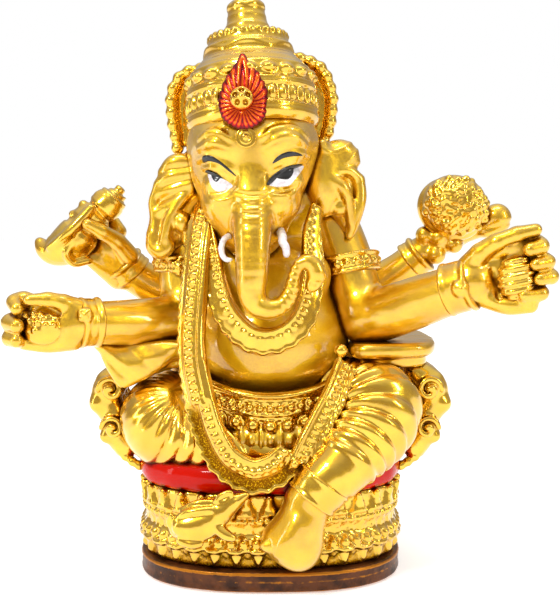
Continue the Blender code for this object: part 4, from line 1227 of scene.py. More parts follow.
def rounded_outline(outline):
    """The smooth closed curve through the outline's points."""
    points = np.array(list(outline[-2:]) + list(outline) + list(outline[:2]), float)
    line = curve(np.column_stack([points, np.zeros(len(points))]), 0.25)[:, :2]
    start = np.linalg.norm(line - points[2], axis=1).argmin()
    end = start + np.linalg.norm(line[start + 4:] - points[2], axis=1).argmin() + 4
    return [tuple(p) for p in line[start:end]]


# Paint on the face: its name, finish, thickness and outline of (x, z) points.
FACE_PAINT = (
    ("eye_white_left", WHITE, 0.12,
     [(-15.2, 104), (-13.6, 103.6), (-11.2, 102.6), (-8.8, 101), (-9.4, 100.1), (-12.1, 99.3), (-13.8, 100),
      (-14.8, 102)]),
    ("eye_white_right", WHITE, 0.12,
     [(-0.3, 101.2), (1.9, 103.2), (5.2, 104.9), (8.5, 106), (7.9, 104.4), (6.3, 102.3), (5, 100.9),
      (2.9, 100.5), (0.9, 100.6)]),
    ("iris_left", BLACK, 0.2,
     [(-14.3, 103.7), (-12.8, 103.4), (-11.7, 103.1), (-12.1, 102.2), (-12.9, 101.6), (-13.8, 102.2)]),
    ("iris_right", BLACK, 0.2,
     [(1.6, 102.8), (3.4, 104.6), (5.8, 105.3), (5.9, 103.8), (5.1, 102.6), (3.9, 102.2)]),
    ("lash_left", BLACK, 0.3,
     [(-15.9, 104.2), (-15.3, 104.7), (-13.8, 104.2), (-12.2, 103.4), (-11, 102.5), (-12.6, 102.8),
      (-14.4, 103.5)]),
    ("lash_right", BLACK, 0.3,
     [(-0.6, 101.2), (0.6, 103.2), (3.2, 105), (5.8, 105.9), (8.8, 106.1), (5.8, 105.1), (3.2, 103.8),
      (1.2, 102), (0, 100.9)]),
    ("brow_left", BLACK, 0.16,
     [(-16.6, 107.2), (-16, 108.3), (-13.9, 108.1), (-11.4, 106.5), (-9.2, 104.6), (-7.5, 102.6),
      (-9.8, 104.2), (-12.2, 106), (-14.6, 106.7), (-16.1, 106.4)]),
    ("brow_right", BLACK, 0.16,
     [(0.6, 106), (1.5, 107.5), (3, 108.6), (5.2, 109.2), (7.3, 108.8), (8.4, 108.1), (6, 107.9),
      (3.6, 107.4), (2, 106.6)]),
)


def make_head():
    """The head with its trunk, and on it the painted eyeballs, irises, lash lines and brows."""
    clay = head_clay()
    skin(clay, "head", SATIN, uneven=0.05)
    for name, finish, lift, outline in FACE_PAINT:
        patch(clay, name, finish, lift, outline)


def make_left_ear():
    """Hanging ear: folds that run out from the temple, a rolled outer edge and a curled foot."""
    clay = Clay((-34, -13, 79), (-14, 3, 116), MEDIUM)
    limb(clay, [(-18.8, -3, 109, 3.2), (-23.4, -3, 102, 4.4), (-25.6, -4, 94.5, 4.4),
                (-26.8, -5.5, 87.5, 3.4)])
    ball(clay, (-22, -5, 96), (5.4, 2.8, 10), 2.5)
    folds = [[(-19.6, -7.4, 107.2, 1.7), (-24.4, -7.4, 107.2, 2), (-27.4, -6.4, 104.6, 1.6)],
             [(-20.4, -8.2, 104.4, 1.5), (-25.6, -8, 103.4, 1.6), (-28.6, -6.6, 101.4, 1.4)],
             [(-20.4, -8.4, 101.6, 1.3), (-25, -8.2, 100.4, 1.2), (-28.8, -6.8, 99.2, 1.2)],
             [(-20.6, -8.2, 99.8, 1.2), (-24.6, -8.4, 96.9, 1.3), (-29.4, -7.2, 94.1, 1.3)],
             [(-28.2, -6.6, 102.4, 1.3), (-30.2, -6.8, 97.4, 1.2), (-29.8, -7.2, 93, 1.3),
              (-30.2, -7.8, 88.5, 1.6)],
             [(-22.4, -8.6, 98, 1.2), (-25.6, -9.2, 93.5, 1.3), (-26.8, -9.4, 88.9, 1.3),
              (-27.6, -9.2, 85.6, 1.3)],
             [(-30.2, -7.8, 88.5, 1.5), (-30.4, -8.4, 85.6, 1.6), (-28.4, -9, 84, 1.6),
              (-25.8, -9.2, 85.4, 1.3), (-26.6, -9.6, 87.2, 0.9)]]
    for fold in folds:
        limb(clay, [(x, y + 0.2, z, r * 1.15) for x, y, z, r in fold], 0.7)
    ball(clay, (-22.6, -8.8, 91.6), (2.3, 2.2, 2.7), 0.8)
    ball(clay, (-20.6, -8.4, 87.2), (2.4, 2, 2.6), 0.8)
    skin(clay, "ear_left", SATIN)


def make_right_ear():
    """Hanging ear, more crumpled than the left one: a creased upper lobe over thick lower ones."""
    clay = Clay((7, -13, 84), (27, 3, 116), MEDIUM)
    limb(clay, [(12.4, -3, 109.5, 3.2), (17, -3, 105.5, 4.6), (18.8, -4, 97, 4.2), (20.4, -5.5, 90.4, 1.8)])
    ball(clay, (18.2, -6, 108.2), (5.2, 3.4, 5), 1.0, (0, 20, 0))
    ball(clay, (14, -7.6, 102.6), (4.6, 3.6, 9.6), 2.0)
    ball(clay, (14.6, -7.4, 100), (5.2, 3.2, 4.6), 0.8)
    ball(clay, (17.9, -7.8, 95.4), (2.2, 2, 2.2), 0.6)
    folds = [[(14.6, -8.2, 104, 1), (18.1, -8.6, 105.1, 1.1), (20.9, -7.8, 104.8, 1.2),
              (23, -6.6, 102.8, 1.3)],
             [(23, -6.6, 102.6, 1.4), (23.4, -7, 98.8, 1.5), (22.8, -7.6, 94.9, 1.4),
              (21.6, -7.8, 90.8, 1.2), (20.6, -7.8, 88.4, 1)],
             [(15, -9, 103.2, 1.2), (18.4, -9.4, 101, 1.5), (20.2, -9, 97.4, 1.2), (20.9, -8.6, 91.8, 1)],
             [(13.4, -8.4, 111.6, 1.5), (14.4, -8.8, 108.2, 1.3), (13.4, -8.8, 104.4, 1.2)]]
    for fold in folds:
        limb(clay, [(x, y - 0.2, z, r * 1.15) for x, y, z, r in fold], 0.7)

    def folds_above(x, y, z):
        return 0.35 * hump(np.sin(1.5 * (z - 0.25 * (x - 16) ** 2 * 0.4)), 1, 0.6) * (y < -4)

    emboss(clay, folds_above, (13, -13, 106.5), (24, 0, 113))
    skin(clay, "ear_right", SATIN)


def make_tusks():
    """The left tusk is thin and curls in at its tip; the right one is stouter and nearly straight."""
    left = Clay((-15, -31, 80), (-6, -15, 93), FINE)
    limb(left, [(-8.2, -18.5, 89, 0.95), (-10.2, -21.6, 88.5, 0.82), (-11.3, -23.2, 87.5, 0.8),
                (-11.8, -24, 85.6, 0.8)])
    limb(left, [(-11.8, -24, 85.6, 0.8), (-11.3, -24.6, 83.6, 0.75), (-10.2, -25, 82.8, 0.7),
                (-9.2, -25.2, 83, 0.5)], 0.3)
    skin(left, "tusk_left", WHITE, uneven=0.04)
    right = Clay((-1, -31, 80), (9, -15, 93), FINE)
    limb(right, [(2.4, -18.5, 90.2, 1.2), (3.2, -22.6, 88.4, 1.15), (3.2, -24.2, 87.2, 1.1),
                 (4, -25.4, 86, 1), (4.2, -26, 84.2, 0.9)])
    skin(right, "tusk_right", WHITE, uneven=0.04)


# --- The crown -------------------------------------------------------------------

CROWN_FOOT = (-4.2, -9.5, 115.5)
CROWN_LEAN = Euler((math.radians(-8.0), math.radians(-3.6), 0))
CROWN_POSE = Matrix.Translation(CROWN_FOOT) @ CROWN_LEAN.to_matrix().to_4x4()
CROWN_RADIUS = 16.0
CROWN_GIRTH = 100.53


def ball_ring(clay, count, radius, level, size, blend, start=0.0, carve=False):
    """Balls in a ring about the vertical, at a height."""
    for k in range(count):
        angle = FULL_TURN * (k + start) / count
        ball(clay, (radius * math.cos(angle), radius * math.sin(angle), level), size, blend, carve=carve)


def make_crown():
    """Turned crown: smooth band, oval flutes, leaf tier, dome with swags, bead row, stepped spire and
    cap."""
    clay = Clay((-19, -19, -1), (19, 19, 36), FINE)
    levels = [(15.8, -0.8), (16.7, 0.2), (17.2, 1.5), (16.9, 2.9), (17.3, 3.1), (17.3, 3.5), (16.3, 3.7),
              (16.3, 7.8), (17.1, 8.1), (17.1, 8.6), (16.6, 8.9), (17.0, 9.2), (16.9, 9.8), (16.0, 10.1),
              (15.5, 13.4), (15.8, 13.7), (15.6, 14.3), (14.9, 14.6), (13.9, 16.0), (12.7, 17.0),
              (12.6, 17.5), (11.7, 17.8), (11.2, 20.0), (11.6, 20.3), (11.4, 20.8), (10.5, 21.1),
              (10.3, 22.4), (9.5, 23.5), (7.0, 23.7), (6.3, 24.2), (5.7, 26.2), (5.9, 26.5), (5.4, 26.9),
              (5.0, 28.6), (5.25, 28.9), (4.9, 29.3), (4.7, 30.6), (4.95, 31.0), (4.6, 32.0), (3.4, 33.1),
              (1.2, 33.5)]
    profile = [(r - CROWN_RADIUS, t) for r, t in levels]

    def relief(angle, offset, t):
        girth = angle * CROWN_RADIUS + CROWN_GIRTH / 2
        swell = 0.5 * hump(t, 12.0, 1.9) * pleat(girth * 10 / CROWN_GIRTH)
        swags = 0.45 * hump(t - 0.9 * np.abs(np.sin(girth / 5.3)), 19.0, 0.8)
        facets = 0.4 * pleat(girth * 8 / CROWN_GIRTH) * fade(t, 30.6, 31.6)
        return -(swell + swags + facets)

    turned(clay, (CROWN_RADIUS, CROWN_RADIUS), profile, 2.0, relief)
    ball_ring(clay, 30, 9.7, 23.3, 1.0, 0.35)
    ball_ring(clay, 36, 16.3, 5.75, (1, 1, 1.9), 0.35)
    ball_ring(clay, 20, 15.3, 11.9, (2.1, 2.1, 1.4), 0.35)
    ball_ring(clay, 5, 3.5, 31.9, (1.5, 1.5, 1.2), 0.6, 0.3)
    skin(clay, "crown", BRIGHT, pose=CROWN_POSE, uneven=0.05)


def make_fan(clay, name, rim, root):
    """Wing beside the crown: a lobed rim round a hollowed leaf; rim and root list (x, z) from the top."""
    edge = curve([(x, -3.2, z) for x, z in rim], 0.8)
    inner = curve([(x, -1.6, z) for x, z in root], 0.8)
    web = np.vstack([paced(edge, 1.0), paced(inner, 1.0)[::-1]])[:, [0, 2]]
    cut, (x, y, z) = clay.region()
    flat = outline_distance([tuple(p) for p in web], x, z)
    hollow = 0.9 * fade(-flat, 0.5, 3.0)
    ribs = 0.3 * pleat(-flat / 1.1)
    plate = rounded(flat, np.abs(y + 1.4) - 1.7 + hollow * (y < -1.4) - ribs * 0.8, 0.6)
    clay.put(cut, capped(plate))
    limb(clay, np.column_stack([edge, np.full(len(edge), 1.0)])[::2], 0.4)
    for point in paced(edge, 3.0):
        ball(clay, (point[0], point[1] - 0.3, point[2]), (1.65, 1.7, 1.65), 0.7)
    for point in paced(inner, 1.9)[1:-1]:
        ball(clay, (point[0], point[1] - 0.9, point[2]), 0.75, 0.3)
    skin(clay, name, BRIGHT)


def make_fans():
    """The two wings; the left one is the narrower."""
    left_rim = [(-18.0, 131.6), (-22.4, 130.4), (-24.8, 127.4), (-25.8, 123.4), (-25.4, 117.6),
                (-24.7, 114.3), (-24.2, 111.0)]
    left_root = [(-14.6, 130.4), (-17.8, 128), (-20.2, 124), (-20.6, 118), (-20.2, 112)]
    make_fan(Clay((-29, -7, 107), (-12, 2, 135), FINE), "crown_fan_left", left_rim, left_root)
    right_rim = [(4.8, 134.6), (9.6, 133.8), (13.8, 131.2), (16.0, 125.6), (16.2, 121.9), (15.4, 116.0),
                 (14.0, 112.4)]
    right_root = [(2.4, 131.4), (8.0, 129.0), (11.4, 125.6), (12.0, 120.6), (11.6, 114.0)]
    make_fan(Clay((0, -7, 108), (21, 2, 138), FINE), "crown_fan_right", right_rim, right_root)


def flame_tongue(x, y):
    """Which tongue of the flame a point is on, counted round the rosette; they stream up from it."""
    angle = np.arctan2(x, y + 1.5 - 0.35 * np.maximum(y, 0))
    return angle * 27 / FULL_TURN + 0.12 * np.hypot(x, y) * np.sign(x)


def make_flame():
    """Flame plume: a drop with ridged tongues that stream up from round the rosette."""
    outline = [(0, 11.4), (1.9, 8.8), (4.3, 6.0), (5.7, 2.7), (5.9, 0.1), (5.2, -4.0), (3.1, -6.2),
               (0.6, -6.9), (-1.6, -6.7), (-3.8, -5.4), (-5.2, -3.2), (-5.6, 0.1), (-4.3, 4.8), (-2.6, 7.4),
               (-1.1, 10.0)]
    outline = rounded_outline(outline)
    clay = Clay((-8, -9, -4), (8, 13, 3), grid_step(0.26))
    cut, (x, y, z) = clay.region()
    flat = outline_distance(outline, x, y)
    ribs = pleat(flame_tongue(x, y))
    tongues = ribs * fade(np.hypot(x, y), 2.0, 3.0)
    dome = 1.1 * np.sqrt(np.clip(-flat / 3.0, 0, 1)) + 0.55 * tongues * np.clip(-flat * 1.4, 0, 1)
    flat = flat - 0.35 * ribs
    body = rounded(flat, np.where(z > 0, z - dome, -z - 2.2), 0.35)
    clay.put(cut, capped(body))
    pose = pose_at((-6.4, -25.3, 121.4), (0, -1, 0.17))
    piece = skin(clay, "flame_jewel", FLAME, pose=pose, uneven=0.03)
    to_plate = np.array(pose.inverted())

    def crest(*place):
        x, y, _, _ = to_plate @ np.vstack([*place, np.ones(len(place[0]))])
        inside = -outline_distance(outline, x, y)
        clear = fade(np.hypot(x, y), 1.6, 2.6)
        return 1.15 * pleat(flame_tongue(x, y)) * np.clip(inside + 0.3, 0, 1) * clear

    # The ridge level is where the flame's enamel is painted orange highlight.
    mark(piece, "ridge", crest)


def make_rosette():
    """Gold boss with five pierced dimples round a knob."""
    clay = Clay((-4, -4, -2), (4, 4, 4), grid_step(0.2))
    ball(clay, (0, 0, 0.2), (2.9, 2.9, 2.3))
    ball_ring(clay, 5, 1.75, 2.1, (0.7, 0.7, 1.4), 0.2, 0.25, carve=True)
    ball(clay, (0, 0, 2.4), (0.7, 0.7, 0.5), 0.4)
    skin(clay, "jewel_rosette", BRIGHT, pose=pose_at((-6.6, -26.8, 121.6), (0, -1, 0.17)), uneven=0.03)


def make_forehead_disc():
    """Round brow mark: concentric raised rings about a stud."""
    clay = Clay((-4, -4, -2.5), (4, 4, 2), grid_step(0.22))
    profile = [(-0.3, -1.6), (0.0, -1.2), (0.1, 0.0), (-0.2, 0.3), (-0.5, 0.1), (-0.8, 0.0), (-1.05, 0.35),
               (-1.3, 0.4), (-1.5, 0.1), (-1.75, 0.1), (-1.95, 0.4), (-2.2, 0.55)]
    turned(clay, (2.55, 2.55), profile)
    ball(clay, (0, 0, 0.35), (0.55, 0.55, 0.45), 0.2)
    skin(clay, "forehead_disc", BRIGHT, pose=pose_at((-5.6, -26, 112.4), (0, -1, 0.12)), uneven=0.02)


# --- Arms, hands and what they hold ------------------------------------------------


def finger(clay, joints, blend=0.35):
    """A finger through its joints of (x, y, z, radius), with a knuckle at each."""
    limb(clay, joints, blend)
    for point in joints[1:-1]:
        ball(clay, point[:3], point[3] * 1.07, 0.5)


def make_front_left_arm():
    """Upper arm down to the elbow, forearm level to the left, the hand open round the sweets."""
    clay = Clay((-68, -31, 57), (-10, 12, 98), MEDIUM)
    limb(clay, [(-18.5, 2, 89.4, 7.6), (-22.4, 0.5, 82, 7.2), (-22.6, -1.5, 74, 6.6),
                (-22, -3.4, 68.4, 6.4)])
    limb(clay, [(-21.6, -3, 67.4, 6.2), (-28, -8, 66.3, 6.2), (-35, -13, 66.2, 6), (-44, -18.8, 66.8, 5.3),
                (-50, -20.4, 67, 5)], 2)
    ball(clay, (-53.6, -20.2, 66.8), (7, 3.4, 6.4), 2.2, (0, 0, 20))
    finger(clay, [(-47.4, -21.6, 70.6, 2.6), (-50.7, -23.2, 72, 2.2), (-54.3, -25, 73, 1.9),
                  (-58.6, -26.2, 73.1, 1.5)], 0.8)
    for joints in (
            [(-55, -20, 71, 2), (-60.8, -21.6, 72.9, 1.9), (-62.8, -23.6, 72.4, 1.8), (-61.6, -26, 71, 1.7)],
            [(-56, -19.8, 68, 2.2), (-61.8, -21, 68, 2.2), (-64, -23.4, 67.3, 2.1),
             (-61.6, -26.4, 66.8, 1.9)],
            [(-55.6, -19.8, 64.6, 2.1), (-61.2, -21, 63.9, 2.1), (-64, -23.4, 63.4, 2),
             (-61.8, -26, 63.1, 1.8)]):
        finger(clay, joints, 0.5)
    limb(clay, [(-49, -21.4, 63, 3), (-54.6, -23, 61.9, 2.2), (-60.4, -23.6, 62.2, 1.8)], 1.2)
    limb(clay, [(-49, -22.6, 69, 2.6), (-49.6, -23.4, 65.6, 2.2), (-51.6, -23.4, 62.8, 1.8)], 1.4)
    limb(clay, [(-58.6, -24.6, 70.6, 0.9), (-54.4, -24.4, 70.8, 1), (-51.4, -23.6, 69.4, 0.8)], 0.4,
         carve=True)
    skin(clay, "front_left_arm", SATIN)


def make_front_right_arm():
    """Upper arm down to the elbow, forearm raised to the right, the hand half closed round a fluted
    sweet."""
    clay = Clay((9, -34, 58), (73, 12, 100), MEDIUM)
    limb(clay, [(16, 2, 90, 7.9), (19.6, -0.5, 82, 7.5), (22.6, -3.4, 74, 6.8), (25, -5.6, 67.6, 7)])
    limb(clay, [(25.4, -6, 66.8, 7.2), (31, -10.6, 68.8, 6.9), (38, -15, 71.8, 6.6), (45, -19.6, 74.9, 6),
                (50, -21.6, 77.4, 5.4)], 2.2)
    ball(clay, (54.8, -21.2, 79.2), (6.6, 3.4, 6.6), 2.2, (0, -15, -15))
    finger(clay, [(48.8, -22.6, 81, 2.8), (51.4, -24.4, 84.4, 2.4), (55.2, -26.2, 87.2, 2.1),
                  (59.8, -27.2, 89.1, 1.9), (64.4, -27.2, 90.2, 1.6)], 0.9)
    for joints in (
            [(54.6, -22.4, 84, 2.2), (60.4, -23.6, 86.2, 2.1), (64.9, -24.8, 87, 2), (65.7, -27, 86.2, 1.9),
             (62.8, -28.4, 85.5, 1.8)],
            [(56, -21.8, 81.6, 2), (62, -23.2, 82.9, 2), (66.9, -24.8, 82.9, 1.8), (67.5, -27, 82.4, 1.7),
             (64.2, -28.6, 81.8, 1.6)],
            [(56.6, -21.8, 78.8, 2), (62.4, -23.2, 79.3, 2), (67.9, -24.6, 79.3, 1.8),
             (68.3, -27.2, 78.8, 1.75), (65.2, -28.7, 78.3, 1.6)],
            [(56, -21.6, 76, 2), (61.6, -23, 75.6, 2), (65.9, -24.4, 75.2, 1.8), (66.1, -26.6, 74.7, 1.7),
             (61.6, -28, 74.4, 1.6)]):
        finger(clay, joints)
    limb(clay, [(53.6, -22.6, 73.4, 2.8), (58.4, -24.6, 71.8, 2.5), (63.6, -26.2, 71.8, 2)], 1.2)
    limb(clay, [(54.6, -25, 80.4, 0.8), (55.6, -25.6, 77, 0.9), (56.2, -25.4, 73.4, 0.7)], 0.3, carve=True)
    ball(clay, (62.6, -24.2, 80), (4.8, 2.6, 6.4), 1.5)
    skin(clay, "front_right_arm", SATIN)


def make_rear_left_arm():
    """Raised arm behind the shoulder, a broad flat hand whose thumb crosses the conch."""
    clay = Clay((-58, -7, 64), (-8, 18, 101), MEDIUM)
    limb(clay, [(-16, 8, 76, 6.2), (-25, 10.8, 72.6, 5.6), (-33, 10.6, 74.4, 5.2), (-39.4, 9, 79, 5),
                (-43.6, 8, 83.6, 4.6)])
    ball(clay, (-43.6, 7.2, 84.6), (4.4, 3.4, 7), 2.0, (0, -38, 0))
    limb(clay, [(-41.6, 7.6, 76.6, 3.4), (-45.6, 6.6, 79.6, 2.8), (-49, 5.6, 82, 2.2)], 1.6)
    finger(clay, [(-38, 4, 82.6, 2.6), (-40.8, 1.2, 86.4, 2.2), (-44.6, -1.6, 89.2, 2),
                  (-48, -3.2, 91.2, 1.7)], 1.0)
    for joints in (
            [(-41.6, 8.4, 89, 2.2), (-45, 9.2, 93.4, 2), (-48.4, 8, 95, 1.7)],
            [(-44.4, 8.6, 87, 2.1), (-49.4, 9.2, 90.4, 2), (-52.8, 7.6, 91.6, 1.6)],
            [(-45.6, 8.2, 84.6, 2), (-51.4, 8.4, 86.4, 1.9), (-55.2, 7, 87.2, 1.5)]):
        finger(clay, joints)
    skin(clay, "rear_left_arm", SATIN)


def make_rear_right_arm():
    """Raised arm behind the shoulder, the fist closed on the lotus stem with its fingers rolled up."""
    clay = Clay((8, -3, 65), (69, 19, 102), MEDIUM)
    limb(clay, [(14, 8, 77, 6), (26, 11, 73.6, 5.4), (34.4, 10.6, 77.4, 5), (41.6, 8.8, 83.4, 4.4)])
    ball(clay, (48, 8.4, 88), (6.4, 3.6, 5), 1.8, (0, -24, 0))
    for x, y, z, radius in ((41.8, 5.6, 88.2, 2.4), (45.6, 4.6, 87.6, 2.5), (49.8, 5, 85.6, 2.4),
                            (45, 5.4, 82.8, 2.6)):
        ball(clay, (x, y, z), radius, 1.2)
    limb(clay, [(52, 8, 89, 3.4), (57, 6.8, 91, 3.6), (61.4, 5.2, 92, 3.4)], 1.5)
    ball(clay, (61.2, 4.4, 92.8), (3.9, 3.2, 3.9), 1.0)
    ball(clay, (58.6, 4.8, 89.6), (3, 2.6, 2.2), 1.0)
    emboss(clay, lambda x, y, z: -0.5 * hump(z - 0.3 * (x - 61), 90.6, 0.5), (56, -3, 86), (69, 8, 97))
    skin(clay, "rear_right_arm", SATIN)


def make_conch():
    """Whelk-like shell: three whorls at its upper right, a swelling body, knobs and a curled horn."""
    clay = Clay((-67, -6, 77), (-34, 12, 105), FINE)
    body = [(-41.2, 3.4, 99.4, 2.4), (-43, 3.3, 97.2, 4.3), (-46.2, 3, 94.2, 4.6), (-49.6, 2.8, 90.6, 5.3),
            (-53.4, 2.8, 86.4, 5.6), (-57.6, 3, 83.9, 4), (-60.8, 3.4, 84.4, 2.6), (-62.2, 3.6, 86.2, 1.5)]

    def whorls(along, x, y, z):
        turned_by = along + 0.22 * (x + 44 + z - 97)
        small = hump(turned_by, 2.6, 0.9) + hump(turned_by, 6.2, 1.0)
        return 1.1 * (small + 0.8 * hump(turned_by, 10.4, 1.1))

    limb(clay, body, 0, whorls)
    for x, z, radius in ((-50, 96.4, 1.3), (-52.8, 93.8, 1.2), (-55.6, 90.2, 1.1), (-59, 87, 0.9),
                         (-46, 99, 1.1)):
        ball(clay, (x, 1.8, z), radius, 0.5)
    limb(clay, [(-47.4, -1.8, 95.4, 1.2), (-50.8, -2.8, 91.4, 1.5), (-54.4, -3, 87.8, 1.4),
                (-58.6, -1.2, 85, 1)], 1.2)
    limb(clay, [(-50.4, -3.4, 88.6, 1), (-50.8, -3.6, 85.2, 1.3), (-48.8, -2.6, 82.2, 1.7)], 0.6, carve=True)
    limb(clay, [(-52.2, -2, 86.6, 0.8), (-54, -2.2, 83.4, 1), (-52.4, -0.6, 80.8, 1), (-48.8, 1, 81.4, 1.2)],
         0.8)
    skin(clay, "conch", BRIGHT)


def make_lotus():
    """Round flower head packed with uneven little buds, on a stem that runs down through the fist."""
    clay = Clay((36, -7, 83), (62, 10, 108), FINE)
    ball(clay, (49, 4.2, 95.2), (9.6, 4.2, 8.4), 0, (0, 24, 0))
    ball(clay, (49.6, 1.8, 96.4), (8.7, 4.3, 7.8), 0.6, (0, 24, 0))
    limb(clay, [(48.6, 5, 91, 3.2), (48.6, 6, 86, 2)], 1)
    golden_angle = math.pi * (3 - math.sqrt(5))
    cosine, sine = 0.914, 0.407  # of the head's lean, 24 degrees
    rng = np.random.default_rng(5)
    count = 90
    for k in range(count):
        out = math.sqrt((k + 0.5) / count)
        dx, dz, ds = rng.uniform(-0.4, 0.4), rng.uniform(-0.4, 0.4), rng.uniform(-0.2, 0.3)
        a = 8.5 * out * math.cos(k * golden_angle) + dx
        b = 7.6 * out * math.sin(k * golden_angle) + dz
        x, z = cosine * a + sine * b, cosine * b - sine * a
        y = -4.2 * math.sqrt(max(1 - out**2, 0.02))
        ball(clay, (49.6 + x, 1.8 + y, 96.4 + z), 0.98 + 0.1 * out + 0.4 * ds, 0.15)
    skin(clay, "lotus_bud", BRIGHT, uneven=0.04)


def make_sweets():
    """Little heap of sweets, beaded on top, in the left hand, and the ribbed one in the right."""
    heap = Clay((-64, -32, 59), (-47, -19, 74), FINE)
    ball(heap, (-55.6, -23.8, 65.6), (5.4, 3, 4.2))
    beads_at = [(-57.8, 69.6), (-56.0, 69.5), (-53.9, 69.1), (-52.3, 68.4), (-58.7, 68.0), (-56.6, 67.7),
                (-54.5, 66.9), (-52.7, 66.9), (-57.2, 65.7), (-60.1, 69.1), (-55.1, 68.7)]
    spots = heap.land([(x, -30.0, min(z, 69.2)) for x, z in beads_at], (0, 1, 0))
    for (x, z), spot in zip(beads_at, spots):
        ball(heap, (x, min(spot[1], -24.6), z), 0.85, 0.2)
    skin(heap, "sweet_pile", BRIGHT, uneven=0.06)
    ribbed = Clay((52, -33, 69), (68, -20, 88), FINE)
    ball(ribbed, (60.2, -26.2, 78.7), (4.6, 3.3, 5.7), 0, (0, 8, 0))
    emboss(ribbed, lambda x, y, z: 0.9 * (pleat((z - 0.2 * (x - 58.6)) / 1.95) - 0.5))
    skin(ribbed, "fluted_sweet", BRIGHT)


def make_bangles():
    """Four smooth cuffs on the wrists and two studded bands on the upper arms; three have a boss in
    front."""

    def cuff(s, v, half):
        return 0.35 * hump(np.abs(v), half - 0.5, 0.9) - 0.3 * hump(v, half - 1.7, 0.4)

    def studded(s, v, half):
        ridges = 0.8 * hump(v, half - 0.5, 0.8) + 0.5 * hump(v, -half + 0.45, 0.6)
        return ridges + 0.9 * dots(s, v - 0.1, 2.9, 1.0) + 0.5 * dots(s + 1.45, v + 0.7, 2.9, 0.6)

    bands = {
        "bracelet_front_left": ((-45.2, -19.4, 66.9), (0.88, 0.46, -0.02), 6.1, 2.7, cuff),
        "bracelet_front_right": ((47.2, -20.6, 75.9), (0.86, -0.42, 0.27), 6.5, 3.6, cuff),
        "bracelet_rear_left": ((-39.6, 9, 78.9), (-0.60, -0.26, 0.76), 6.0, 2.4, cuff),
        "bracelet_rear_right": ((40, 9.2, 81.8), (0.74, -0.2, 0.64), 5.4, 2.2, cuff),
        "armlet_left": ((-22.7, 0.3, 80.2), (0.05, 0.1, 0.99), 8.2, 2.3, studded),
        "armlet_right": ((20.6, -0.9, 79.9), (-0.2, 0.2, 0.96), 8.5, 2.6, studded),
    }
    bosses = {
        "bracelet_front_left": ((-44.9, -25.6, 69.4), 1.9, 4),
        "bracelet_front_right": ((46.4, -27, 76), 2.2, 0),
        "armlet_left": ((-23.6, -7.8, 80.2), 2.2, 6),
    }
    for name, (centre, axis, radius, half, pattern) in bands.items():
        reach = radius + 5.0
        clay = Clay(np.array(centre) - reach, np.array(centre) + reach, FINE)
        ring(clay, centre, axis, radius, half, lambda s, v: pattern(s, v, half))
        if name in bosses:
            rosette_boss(clay, *bosses[name])
        skin(clay, name, SATIN if pattern is cuff else BRIGHT)


def rosette_boss(clay, centre, radius, petal_count):
    """A stud facing the viewer, ringed by petals when it has any."""
    ball(clay, centre, (radius, 1.2, radius), 0.5)
    ball(clay, (centre[0], centre[1] - 1.0, centre[2]), (radius * 0.42, 0.8, radius * 0.42), 0.2)
    for k in range(petal_count):
        a = FULL_TURN * (k + 0.5) / petal_count
        spot = (centre[0] + radius * 0.72 * math.cos(a), centre[1] - 0.6,
                centre[2] + radius * 0.72 * math.sin(a))
        ball(clay, spot, (radius * 0.4, 0.8, radius * 0.4), 0.15)


def make_mouse():
    """Mouse crouching at the pedestal's left front: smooth haunch, folded back, leaf ear and snout."""
    clay = Clay((-31, -37, 9), (1, -21, 34), FINE)
    limb(clay, [(-21.8, -28.4, 17.2, 2.9), (-19, -29, 18.2, 3.9), (-15.2, -29.4, 19.2, 3.9),
                (-12, -29.8, 21.2, 3.1)])
    limb(clay, [(-12, -29.8, 21.8, 3), (-9, -30.3, 23.8, 2.2), (-6.8, -30.6, 25.2, 1.3),
                (-5.4, -30.7, 26, 0.7)], 1.2)
    ball(clay, (-18.2, -31, 17.8), (5.6, 2.4, 3.2), 0.5, (0, 4, 0))
    limb(clay, [(-23.2, -30.4, 19.4, 0.8), (-19.8, -31.6, 21.8, 1), (-15, -32, 22.6, 1),
                (-12.2, -31.8, 22.4, 0.8)], 0.35)
    limb(clay, [(-21.4, -29.8, 22, 0.7), (-18, -30.6, 23.8, 0.9), (-14, -30.8, 24.2, 0.8)], 0.35)
    limb(clay, [(-12.6, -31.6, 18.2, 1.6), (-10.4, -32.6, 16.6, 1.4), (-8.8, -32.8, 16, 1)], 0.5)
    limb(clay, [(-21.6, -31.2, 14.8, 1.1), (-19, -32, 14.2, 1.2), (-16.8, -32, 14.4, 1)], 0.4)
    ball(clay, (-11, -31.6, 25.6), (2.8, 1, 1.4), 0.4, (0, -30, 0))
    ball(clay, (-10.8, -32.5, 25.7), (2, 0.7, 0.7), 0.3, (0, -30, 0), carve=True)
    ball(clay, (-7.6, -32, 24.9), 0.5, 0.15)
    limb(clay, [(-22.6, -28.8, 16.4, 1.1), (-24.4, -29.6, 18.6, 0.9), (-24, -30.2, 20.8, 0.7)], 0.4)
    skin(clay, "mouse", BRIGHT)


# --- Finish ----------------------------------------------------------------------


def distance_field(points, triangles, voxel):
    """A grid of distances outside the whole idol, and the grid step of its lowest corner."""
    shell = openvdb.FloatGrid.createLevelSetFromPolygons(
        points, triangles=triangles, transform=openvdb.createLinearTransform(voxel), halfWidth=6.0)
    room = 8  # grid steps kept free round the idol
    low = np.floor(points.min(0) / voxel).astype(int) - room
    high = np.ceil(points.max(0) / voxel).astype(int) + room
    field = np.empty(high - low, np.float32)
    shell.copyToArray(field, ijk=tuple(int(v) for v in low))
    return field, low


